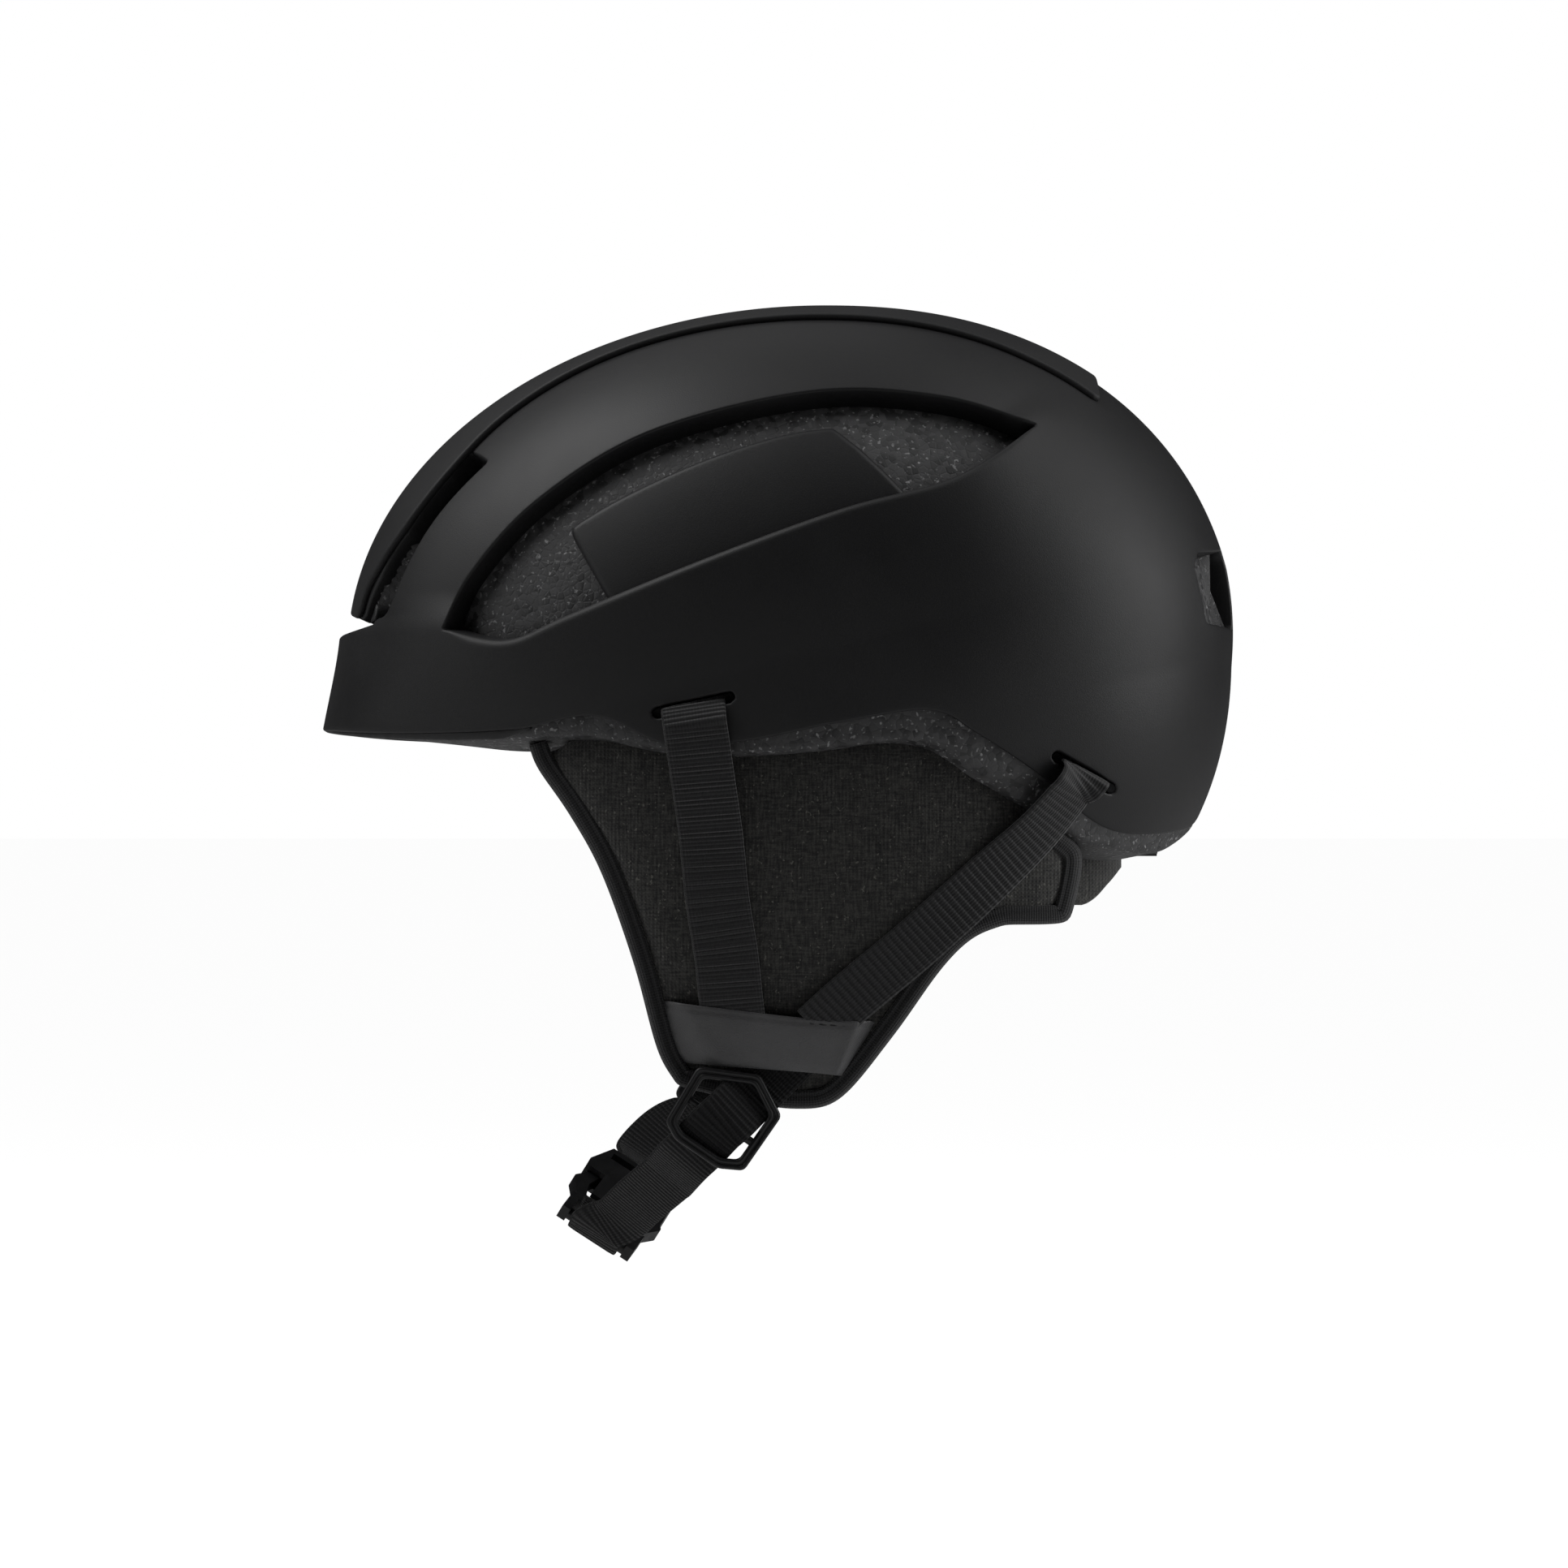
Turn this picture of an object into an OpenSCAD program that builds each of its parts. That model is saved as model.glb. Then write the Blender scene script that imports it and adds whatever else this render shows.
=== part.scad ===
// Ski helmet: moulded outer shell over an expanded-foam liner, comfort pads, soft ear pads with
// webbing, a chin strap closed by a side-release buckle, and a dial-adjusted nape cradle.
// Millimetres. Front faces -Y, top is +Z, the wearer's left is +X. The origin is the centre of
// the head opening at brow height.

/* [Shell] */
// Half the width of the shell
shell_half_w = 107.5; // [95:0.5:120]
// Length of the shell ahead of its widest line
shell_front = 144.5; // [130:0.5:155]
// Length of the shell behind its widest line
shell_rear = 126.6; // [115:0.5:140]
// Rise of the shell above its widest line
shell_rise = 105; // [95:0.5:115]
// Wall of the moulded shell
shell_t = 2; // [1.2:0.1:3]
// Height of the centre ridge above the shell
ridge_h = 2; // [1.5:0.25:3]
// How far the brow stands forward of the dome, just under the brow slot
brow_step = 4.7; // [2:0.1:6]
// How much further forward the brow's lower edge reaches
brow_lip = 7.2; // [3:0.1:9]

/* [Liner] */
// Half the width of the head cavity
cavity_half_w = 84; // [78:0.5:88]
// Half the length of the head cavity
cavity_half_l = 104; // [98:0.5:108]
// Height of the cavity above the origin
cavity_rise = 96; // [85:0.5:100]
// Thickness of the comfort pads
pad_t = 7; // [4:0.5:10]

/* [Ear pads and webbing] */
// Thickness of an ear pad
ear_pad_t = 14; // [8:0.5:18]
// Width of the knitted binding round an ear pad
binding_w = 5.5; // [3:0.5:8]
// Width of the front and chin webbing
web_w = 19; // [15:0.5:22]
// Width of the rear webbing
rear_web_w = 15; // [12:0.5:18]
// Thickness of the webbing
web_t = 1.6; // [1:0.1:2.4]

/* [Fit system] */
// Radius of the fit dial
dial_r = 14; // [11:0.5:16]
// Teeth on the pinion
pinion_teeth = 10; // [8:1:12]
// Clearance left between moving pieces
gap = 0.4; // [0.2:0.05:0.6]

/* [Hidden] */
$fn = 48;

// ---- Dome: |x/w|^m + |y/l|^p + |z/h|^q = 1, with other lengths front, rear, up and down ----
dome_y = 13;
dome_z = 22;
shell_drop = 112;
side_pow = 2.4;
front_pow = 2;
rear_pow = 2.25;
drop_pow = 2.2;
rear_lift = 3;
columns = 60;
rows = 12;
top_angle = 87;
fit_gap = 0.9;

// Brow slot, between the ridge's front end and the brow: two arcs that meet at its ends
brow_slot_low = 27;
brow_slot_high = 34;
brow_slot_half_w = 44;
brow_slot_z = (brow_slot_low + brow_slot_high) / 2;
brow_slot_rise = (brow_slot_high - brow_slot_low) / 2;

function sgn(v) = v < 0 ? -1 : 1;
function mix(a, b, t) = a + (b - a) * t;
function smooth(t) = let (c = min(1, max(0, t))) c * c * (3 - 2 * c);

// Catmull-Rom curve through points, n steps on each span
function knot(p, i) = p[max(0, min(len(p) - 1, i))];
function spline_at(p, i, t) =
  let (a = knot(p, i - 1), b = knot(p, i), c = knot(p, i + 1), d = knot(p, i + 2))
  b + t * ((c - a) / 2 + t * ((a - 2.5 * b + 2 * c - d / 2) + t * (1.5 * (b - c) + (d - a) / 2)));
function spline(p, n) =
  [for (i = [0:len(p) - 2], k = [0:n - 1]) spline_at(p, i, k / n), p[len(p) - 1]];

// Height along a list of [angle, height] pairs, smooth between them
function span_of(list, a, i = 0) = i >= len(list) - 2 || a < list[i + 1][0] ? i : span_of(list, a, i + 1);
function slope(list, i) =
  let (b = knot(list, i + 1), a = knot(list, i - 1)) (b[1] - a[1]) / max(0.01, b[0] - a[0]);
function height_at(list, a) =
  let (i = span_of(list, a), p = list[i], q = list[i + 1], w = q[0] - p[0], t = (a - p[0]) / w)
  p[1] * (1 + 2 * t) * (1 - t) ^ 2 + slope(list, i) * w * t * (1 - t) ^ 2
  + q[1] * t ^ 2 * (3 - 2 * t) + slope(list, i + 1) * w * t ^ 2 * (t - 1);

// Turns any angle round the helmet into -90 (front) to 90 (back), the same on both sides
function fold(phi) = asin(sin(phi));
// Lower edge of the shell and of the liner: [angle from the side, height]
SHELL_RIM = [
  [-90, -0.5], [-60, -2], [-40, -1], [-28, 2.7], [-19, -5.5], [-9, -4], [3, 2], [10, 4.6],
  [14, 3.2], [17.5, -1.4], [23, -8], [30, -16.3], [39, -27], [47, -32], [56, -33.2], [68, -32.6],
  [79, -31], [85, -28.5], [90, -25]
];
LINER_RIM = [
  [-90, -2], [-72, -3.2], [-50, -5], [-30, -4], [-20, -8], [-10, -9], [0, -7.5], [8, -5], [14, -7],
  [20, -15], [26, -21.5], [32, -27], [42, -35], [56, -38], [67, -38], [79, -33], [90, -28]
];

// Forward reach of the brow at height z: a step below the slot, then a curve out to the edge
brow_drop = 28;
brow_curve = 1.6;
function flare(phi, z) =
  brow_step * smooth((brow_slot_high - z) / (brow_slot_high - brow_slot_low)) * sin(phi) ^ 12
  + brow_lip * min(1, max(0, (brow_slot_low - z) / brow_drop)) ^ brow_curve * sin(phi) ^ 6;
function dome(phi, psi, t) =
  let (
    back = sin(phi) > 0,
    round = cos(psi) ^ 2,
    l = (back ? shell_rear : shell_front) - t,
    h = (psi < 0 ? shell_drop : shell_rise + (back ? rear_lift * sin(phi) ^ 2 * round : 0)) - t,
    z = dome_z + sgn(psi) * h * (sin(psi) ^ 2) ^ (1 / (psi < 0 ? drop_pow : 2))
  )
  [
    sgn(cos(phi)) * (shell_half_w - t) * (round * cos(phi) ^ 2) ^ (1 / side_pow),
    dome_y - (back ? 0 : flare(phi, z))
      + sgn(sin(phi)) * l * (round * sin(phi) ^ 2) ^ (1 / (back ? rear_pow : front_pow)),
    z
  ];
// Latitude of the dome at height z, below its widest line
function low_angle(z, t) = -asin(sqrt(((dome_z - z) / (shell_drop - t)) ^ drop_pow));
function dome_rings(t, rim, n = rows, m = columns) =
  [for (j = [0:n]) [for (i = [0:m - 1])
    let (phi = i * 360 / m, start = low_angle(height_at(rim, fold(phi)), t))
    dome(phi, mix(start, top_angle, j / n), t)]];

// Head cavity: upright walls below the origin, a rounded vault above it
cavity_y = 3;
cavity_pow = 2.2;
function cavity(phi, z, t) =
  let (
    high = max(0, z) / (cavity_rise - t),
    round = (1 - min(1, high ^ cavity_pow)) ^ (1 / cavity_pow)
  )
  [
    sgn(cos(phi)) * (cavity_half_w - t) * round * abs(cos(phi)) ^ (2 / cavity_pow),
    cavity_y + sgn(sin(phi)) * (cavity_half_l - t) * round * abs(sin(phi)) ^ (2 / cavity_pow),
    z
  ];
function cavity_rings(t, rim, n = rows, m = columns) =
  [for (j = [0:n]) [for (i = [0:m - 1])
    let (phi = i * 360 / m, top = (cavity_rise - t) * 0.998)
    cavity(phi, mix(height_at(rim, fold(phi)), top, sin(90 * j / n)), t)]];

// ---- Closed solids from grids of points ----
function flat(grid) = [for (row = grid) each row];
// Triangles of an m by n grid whose first point is number k; wrap closes each row on itself
function skin(rows_n, cols, k, flip, wrap) =
  [for (j = [0:rows_n - 2], i = [0:cols - (wrap ? 1 : 2)], half = [0, 1])
    let (a = k + j * cols + i, b = k + j * cols + (i + 1) % cols, c = b + cols, d = a + cols)
    half == 0 ? (flip ? [a, b, c] : [a, c, b]) : (flip ? [a, c, d] : [a, d, c])];

// Bowl between two sets of rings, both closed by a flat cap at the top
module bowl(outside, inside) {
  n = len(outside);
  m = len(outside[0]);
  k = n * m;
  rim = [for (i = [0:m - 1]) let (j = (i + 1) % m) [i, j, k + j, k + i]];
  polyhedron(
    concat(flat(outside), flat(inside)),
    concat(
      skin(n, m, 0, false, true),
      skin(n, m, k, true, true),
      [for (q = rim) each [[q[0], q[1], q[2]], [q[0], q[2], q[3]]]],
      [[for (i = [m - 1:-1:0]) (n - 1) * m + i]],
      [[for (i = [0:m - 1]) k + (n - 1) * m + i]]
    )
  );
}

// Plate between an outer and an inner grid of the same size
module plate(outside, inside) {
  n = len(outside);
  m = len(outside[0]);
  k = n * m;
  edge = concat(
    [for (i = [0:m - 1]) i],
    [for (j = [1:n - 1]) j * m + m - 1],
    [for (i = [m - 2:-1:0]) (n - 1) * m + i],
    [for (j = [n - 2:-1:1]) j * m]
  );
  polyhedron(
    concat(flat(outside), flat(inside)),
    concat(
      skin(n, m, 0, true, false),
      skin(n, m, k, false, false),
      [for (e = [0:len(edge) - 1])
        let (a = edge[e], b = edge[(e + 1) % len(edge)])
        each [[b, a, k + a], [b, k + a, k + b]]]
    )
  );
}

// Solid dome inside offset t, down past every rim
module dome_solid(t, low = -50) {
  bowl_rim = [[-90, low], [0, low], [90, low]];
  rings = dome_rings(t, bowl_rim);
  n = len(rings);
  m = len(rings[0]);
  polyhedron(
    flat(rings),
    concat(
      skin(n, m, 0, false, true),
      [[for (i = [m - 1:-1:0]) (n - 1) * m + i]],
      [[for (i = [0:m - 1]) i]]
    )
  );
}

// Keeps a freeform body as one closed mesh
module freeform() {
  resize([0, 0, 0]) children();
}

module both_sides() {
  children();
  mirror([1, 0, 0]) children();
}

// Stands a side-view drawing, (y, z) as (x, y), up between x0 and x1
module side_prism(x0, x1) {
  translate([x0, 0, 0]) rotate([90, 0, 90]) linear_extrude(x1 - x0) children();
}

// ---- Side-view outlines, left side ----
VENT_TOP = [[-100.5, 28], [-92, 44.5], [-72, 66], [-39, 86], [8.6, 98], [47, 96.7], [75, 88.5]];
VENT_FOOT = [[75, 88.5], [51, 73], [18, 63.4], [-20, 49.4], [-63, 32], [-82, 24.5], [-100.5, 28]];
BRIDGE_TOP = [[-64, 58], [-48.5, 67.2], [-24.7, 78.2], [-1, 86], [15, 88.6]];
BRIDGE_REAR = [[23, 82], [30, 75.2], [37, 68]];
side_steps = 4;

module vent_outline() {
  polygon(concat(spline(VENT_TOP, side_steps), spline(VENT_FOOT, side_steps)));
}

module bridge_outline() {
  intersection() {
    offset(delta = -0.4) vent_outline();
    polygon(concat(spline(BRIDGE_TOP, side_steps), BRIDGE_REAR, [[40, 50], [-48, 30]]));
  }
}

// Plan of the centre ridge: [y, half width], waisted at the crown
RIDGE_EDGE = [
  [-150, 29], [-133, 30], [-128, 34], [-122, 41], [-113, 47], [-100, 48.5], [-84, 44.5],
  [-60, 40.5], [-35, 39], [15, 40], [48, 43], [75, 46.5], [97, 47.5]
];
ridge_corner = 4;
module ridge_plan() {
  offset(ridge_corner) offset(-ridge_corner) polygon(concat(
    [for (p = RIDGE_EDGE) [p[1], p[0]]],
    [for (i = [len(RIDGE_EDGE) - 1:-1:0]) [-RIDGE_EDGE[i][1], RIDGE_EDGE[i][0]]]
  ));
}

// ---- Shell ----
module brow_slot() {
  arc_r = (brow_slot_half_w ^ 2 + brow_slot_rise ^ 2) / (2 * brow_slot_rise);
  translate([0, -100, brow_slot_z]) rotate([90, 0, 0]) linear_extrude(60) intersection_for(side = [-1, 1])
    translate([0, side * (arc_r - brow_slot_rise)]) circle(arc_r, $fn = 300);
}
// Slot beside the front of the ridge: its outer edge as [y, x], its inner edge under the ridge
SLOT_EDGE = [
  [-150, 40], [-124, 40.5], [-122, 44.2], [-118, 50], [-112, 53.2], [-104, 54.9], [-95, 56.4], [-88.6, 57]
];
SLOT_TUCK = [[-94, 45.6], [-100, 47], [-113, 45.5], [-122, 39.5], [-128, 32.5], [-133, 28.5], [-150, 27.5]];
module side_slots() {
  both_sides() translate([0, 0, brow_slot_z]) linear_extrude(90)
    polygon([for (p = concat(SLOT_EDGE, SLOT_TUCK)) [p[1], p[0]]]);
}

rear_vent = [[11, 52], [53, 51], [57, 47], [54, 31], [12, 30]];
module rear_vents() {
  both_sides() translate([0, 170, 0]) rotate([90, 0, 0]) linear_extrude(80)
    offset(3) offset(-3) polygon(rear_vent);
}

// Slots that let the webbing out above the rim
FRONT_SLOT = [[-36.5, 3], [-15.5, 7.5]];
REAR_SLOT = [[81, -10], [97, -19]];
slot_h = 3.4;
module strap_slots() {
  both_sides() side_prism(60, 120) {
    for (s = [FRONT_SLOT, REAR_SLOT]) hull() for (p = s) translate(p) circle(d = slot_h);
  }
}

module outer_shell() {
  color([0.10, 0.10, 0.11]) freeform() difference() {
    bowl(dome_rings(0, SHELL_RIM), dome_rings(shell_t, SHELL_RIM));
    both_sides() side_prism(40, 120) vent_outline();
    brow_slot();
    side_slots();
    rear_vents();
    strap_slots();
  }
}

module top_ridge() {
  color([0.12, 0.12, 0.13]) freeform() intersection() {
    difference() {
      dome_solid(-ridge_h, -20);
      dome_solid(-fit_gap, -25);
    }
    difference() {
      translate([0, 0, brow_slot_z]) linear_extrude(120) ridge_plan();
      brow_slot();
    }
  }
}

bridge_depth = 3;
module vent_bridge() {
  color([0.10, 0.10, 0.11]) freeform() intersection() {
    side_prism(40, 120) bridge_outline();
    difference() {
      dome_solid(bridge_depth);
      dome_solid(bridge_depth + shell_t);
    }
  }
}
module vent_bridge_left() {
  vent_bridge();
}
module vent_bridge_right() {
  mirror([1, 0, 0]) vent_bridge();
}

// ---- Foam liner ----
vent_floor = 7;
rear_vent_floor = 3.8;
pocket_floor = 15;
arch_half_w = 22;
arch_top = -4;
rack_pocket_half_w = 36;
rack_pocket_top = -8;
module foam_liner() {
  color([0.20, 0.20, 0.21]) freeform() difference() {
    bowl(dome_rings(shell_t + fit_gap, LINER_RIM), cavity_rings(0, LINER_RIM));
    difference() {
      union() {
        both_sides() side_prism(40, 120) vent_outline();
        brow_slot();
      }
      dome_solid(vent_floor);
    }
    difference() {
      rear_vents();
      dome_solid(rear_vent_floor);
    }
    difference() {
      strap_slots();
      dome_solid(pocket_floor);
    }
    translate([-arch_half_w, 96, -60]) cube([2 * arch_half_w, 60, 60 + arch_top]);
    translate([-rack_pocket_half_w, 96, -60])
      cube([2 * rack_pocket_half_w, 8.5, 60 + rack_pocket_top]);
  }
}

// Lip under the brow's edge, deeper towards its ends
trim_sweep = 52;
trim_gap = 0.3;
module brow_trim() {
  steps = 24;
  function ring(t, low) = [for (i = [0:steps])
    let (
      turn = mix(-trim_sweep, trim_sweep, i / steps),
      z = height_at(SHELL_RIM, fold(turn - 90)) - trim_gap - low * (0.8 + 0.045 * abs(turn))
    )
    dome(turn - 90, low_angle(z, t), t)];
  color([0.05, 0.05, 0.055]) plate([ring(0.6, 1), ring(0.6, 0)], [ring(shell_t, 1), ring(shell_t, 0)]);
}

// ---- Comfort pads on the cavity wall ----
pad_gap = 1;
module cavity_pad(from, to, low, high, t0 = pad_gap, t1 = pad_t) {
  n = 6;
  m = max(4, round(abs(to - from) / 6));
  function face(t) = [for (j = [0:n]) [for (i = [0:m])
    cavity(mix(from, to, i / m), mix(low, high, j / n), t)]];
  plate(face(t0), face(t1));
}
module brow_pad() {
  color([0.07, 0.07, 0.075]) cavity_pad(-142, -38, 0, 26);
}
module side_pads() {
  color([0.09, 0.09, 0.095]) both_sides() cavity_pad(-24, 28, 14, 44);
}
module rear_pads() {
  color([0.09, 0.09, 0.095]) both_sides() cavity_pad(42, 68, 12, 48);
}
module crown_pad(from_y, to_y) {
  half = 20;
  n = 8;
  function vault(x, y, t) = (cavity_rise - t)
    * (1 - min(0.99, abs(x / (cavity_half_w - t)) ^ cavity_pow
      + abs((y - cavity_y) / (cavity_half_l - t)) ^ cavity_pow)) ^ (1 / cavity_pow);
  function face(t) = [for (j = [0:n]) [for (i = [0:n])
    let (x = mix(-half, half, i / n), y = mix(from_y, to_y, j / n)) [x, y, vault(x, y, t)]]];
  color([0.09, 0.09, 0.095]) plate(face(pad_gap), face(pad_t));
}
module crown_pad_front() {
  crown_pad(-52, -4);
}
module crown_pad_rear() {
  crown_pad(8, 56);
}

// ---- Cheek: the curved surface that the ear pads and webbing follow ----
cheek_w = 96;
cheek_y = 15;
cheek_front = 125;
cheek_rear = 105;
cheek_pow = 2.6;
cheek_tuck = 20;
pad_bottom = -114;
function cheek_x(y, z) =
  cheek_w * (1 - min(0.95, (abs(y - cheek_y) / (y < cheek_y ? cheek_front : cheek_rear)) ^ cheek_pow))
    ^ (1 / side_pow)
  - cheek_tuck * (max(0, -z) / -pad_bottom) ^ 1.7;
// Webbing leaves the shell outside its wall and comes in to the ear pad further down
function web_x(y, z) = cheek_x(y, z) + 1 + mix(11, 18, smooth((y - 20) / 55)) * smooth((z + 45) / 52);

// Layer of the cheek between x = surface + t0 and surface + t1, cut to a side-view outline
module cheek_layer(t0, t1, webbing = false) {
  n = 14;
  m = 15;
  function face(t) = [for (j = [0:n]) [for (i = [0:m])
    let (y = mix(-88, 104, i / m), z = mix(12, -132, j / n))
    [(webbing ? web_x(y, z) : cheek_x(y, z)) + t, y, z]]];
  freeform() intersection() {
    plate(face(t1), face(t0));
    side_prism(30, 130) children();
  }
}

// Ear pad: front edge, bottom, and the rear edge with its tab
PAD_FRONT = [
  [-75, -6.5], [-72.5, -13], [-63, -26.6], [-53.5, -43.8], [-44, -70.5], [-36.7, -97.3], [-30, -108]
];
PAD_BASE = [[-12, -111.8], [4, -114], [17, -111]];
PAD_REAR = [[32.5, -92.5], [46.8, -72.4], [56.4, -63], [66, -59.3]];
PAD_TAB = [[83, -59], [86, -56], [89, -39], [84, -33]];
PAD_TOP = [
  [72, -25.5], [62, -20.5], [55, -14], [47, -8.5], [39, -6.3], [24, -7.5], [0, -10], [-16, -11],
  [-32, -9], [-52, -6.5]
];
module ear_pad_outline() {
  polygon(concat(
    spline(PAD_FRONT, 3), spline(concat(PAD_BASE, PAD_REAR), 3), PAD_TAB, spline(PAD_TOP, 2)
  ));
}
// Everything below the liner's rim
liner_clear = 9;
module below_liner() {
  polygon(concat(
    [for (p = spline(PAD_TOP, 2)) p - [0, liner_clear]],
    [[-90, PAD_TOP[len(PAD_TOP) - 1][1] - liner_clear], [-90, -130], [100, -130], [100, -40]]
  ));
}
module ear_pad() {
  color([0.27, 0.27, 0.28]) cheek_layer(-ear_pad_t, 0) intersection() {
    offset(-binding_w - 0.2) ear_pad_outline();
    below_liner();
  }
}
module ear_pad_left() {
  ear_pad();
}
module ear_pad_right() {
  mirror([1, 0, 0]) ear_pad();
}
// Binding along the free edges, open along the top
module ear_binding() {
  color([0.05, 0.05, 0.055]) cheek_layer(-ear_pad_t + 3, -2) intersection() {
    difference() {
      ear_pad_outline();
      offset(-binding_w) ear_pad_outline();
    }
    below_liner();
  }
}
module ear_binding_left() {
  ear_binding();
}
module ear_binding_right() {
  mirror([1, 0, 0]) ear_binding();
}

COVER = [[-34, -82], [-21, -83.4], [11, -87], [28, -87.5], [24, -95], [18.5, -104], [-29, -100], [-31, -96]];
module strap_cover() {
  color([0.16, 0.16, 0.17]) cheek_layer(web_t + 1.6, web_t + 2.8) polygon(COVER);
}
module strap_cover_left() {
  strap_cover();
}
module strap_cover_right() {
  mirror([1, 0, 0]) strap_cover();
}

// ---- Webbing ----
FRONT_WEB = [[-26, 4.5], [-23.5, -14], [-20.9, -33], [-19, -52], [-16.5, -68], [-14.8, -84], [-13.4, -96]];
REAR_WEB = [[89, -14.5], [75.5, -31.1], [61, -44.9], [46.7, -58], [37.2, -66.4], [26.5, -75.3], [17.5, -83]];
// Outline of a strap of width w along a side-view line
module strap_outline(line, w) {
  p = spline(line, 2);
  last = len(p) - 1;
  function across(i) =
    let (d = p[min(last, i + 1)] - p[max(0, i - 1)]) [-d[1], d[0]] / norm(d) * w / 2;
  polygon(concat(
    [for (i = [0:last]) p[i] + across(i)], [for (i = [last:-1:0]) p[i] - across(i)]
  ));
}
// The end that turns in through its slot in the shell
module strap_turn(slot, from, to) {
  side_prism(from, to) hull() for (p = slot) translate(p) circle(d = web_t);
}
module strap_front() {
  color([0.17, 0.17, 0.18]) freeform() {
    cheek_layer(0.2, 0.2 + web_t, true) strap_outline(FRONT_WEB, web_w);
    strap_turn(FRONT_SLOT, 96, 105.8);
  }
}
module strap_front_left() {
  strap_front();
}
module strap_front_right() {
  mirror([1, 0, 0]) strap_front();
}
module strap_rear() {
  color([0.17, 0.17, 0.18]) freeform() {
    cheek_layer(0.2, 0.2 + web_t, true) difference() {
      strap_outline(REAR_WEB, rear_web_w);
      offset(0.5) strap_outline(FRONT_WEB, web_w);
    }
    strap_turn(REAR_SLOT, 78, 88);
  }
}
module strap_rear_left() {
  strap_rear();
}
module strap_rear_right() {
  mirror([1, 0, 0]) strap_rear();
}

// Bars that the webbing ends are sewn round, set in pockets of the liner
module strap_anchors() {
  color([0.08, 0.08, 0.085]) both_sides() {
    side_prism(92.5, 95.6) hull() for (p = FRONT_SLOT) translate(p) circle(d = 2.6);
    side_prism(74.5, 77.6) hull() for (p = REAR_SLOT) translate(p) circle(d = 2.6);
  }
}

// Press studs that hold the ear pads to the liner, on the inner face of the pads
stud_r = 5;
stud_h = 2;
STUDS = [[-44, -17], [8, -20], [60, -34]];
module ear_pad_snaps() {
  color([0.06, 0.06, 0.065]) both_sides() for (p = STUDS)
    translate([cheek_x(p[0], p[1]) - ear_pad_t - stud_h - 1.2, p[0], p[1]]) rotate([0, 90, 0]) {
      cylinder(r = stud_r, h = stud_h / 2);
      translate([0, 0, stud_h / 2]) cylinder(r = stud_r * 0.6, h = stud_h / 2);
    }
}

// ---- Strap divider: a six-sided ring with a bar across it ----
divider_x = 80.5;
divider_h = 3.2;
divider_bar = 3.8;
DIVIDER = [
  [-24.9, -101], [-6.5, -103.4], [-0.2, -115.7], [-11.3, -131.7], [-19.2, -131], [-31.7, -122.4],
  [-34.5, -117]
];
module strap_divider() {
  color([0.05, 0.05, 0.055]) side_prism(divider_x, divider_x + divider_h) difference() {
    offset(1) offset(-1) polygon(DIVIDER);
    difference() {
      offset(-divider_bar) polygon(DIVIDER);
      translate([-21, -115]) rotate(-35) square([40, 2.6], center = true);
    }
  }
}
module strap_divider_left() {
  strap_divider();
}
module strap_divider_right() {
  mirror([1, 0, 0]) strap_divider();
}

// ---- Chin strap and side-release buckle ----
// Points of each strap from its divider to the buckle
CHIN_LEFT = [[73, -27.5, -129], [58, -34, -135], [38, -43, -143.5], [19, -51, -151.5]];
CHIN_RIGHT = [[-73, -29, -126], [-64, -34.5, -128.5], [-52, -42, -136.5], [-42.5, -46, -141.5]];
chin_across = [-0.08, 0.83, -0.55];
// Flat webbing along points, with its width near the given direction
module ribbon(line, across, w, t) {
  p = spline(line, 4);
  last = len(p) - 1;
  frames = [for (i = [0:last])
    let (
      d = p[min(last, i + 1)] - p[max(0, i - 1)],
      n = cross(d, across) / norm(cross(d, across)),
      side = cross(n, d) / norm(d)
    )
    [p[i], side * w / 2, n * t / 2]];
  function face(s) = [for (f = frames) [f[0] - f[1] + s * f[2], f[0] + f[1] + s * f[2]]];
  plate(face(-1), face(1));
}
module chin_web_left() {
  color([0.15, 0.15, 0.16]) ribbon(CHIN_LEFT, chin_across, web_w, web_t);
}
module chin_web_right() {
  color([0.15, 0.15, 0.16]) ribbon(CHIN_RIGHT, [0.08, 0.83, -0.55], web_w, web_t);
}

// Buckle frame: x runs from the tongue's bar to the socket's tail, y across, z down
buckle_at = [6, -57, -155];
buckle_turn = [214.5, -17.46, 164.8];
buckle_half_w = 15;
buckle_h = 8;
bar_r = 1.9;
frame_back = 10;
socket_mouth = 12;
socket_sides = 27;
socket_back = 46;
blade_w = 7;
prong_w = 3.2;
prong_x = 10.6;
prong_root = frame_back + prong_w / 2 + 0.4;
module in_buckle() {
  translate(buckle_at) rotate(buckle_turn) children();
}
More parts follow.
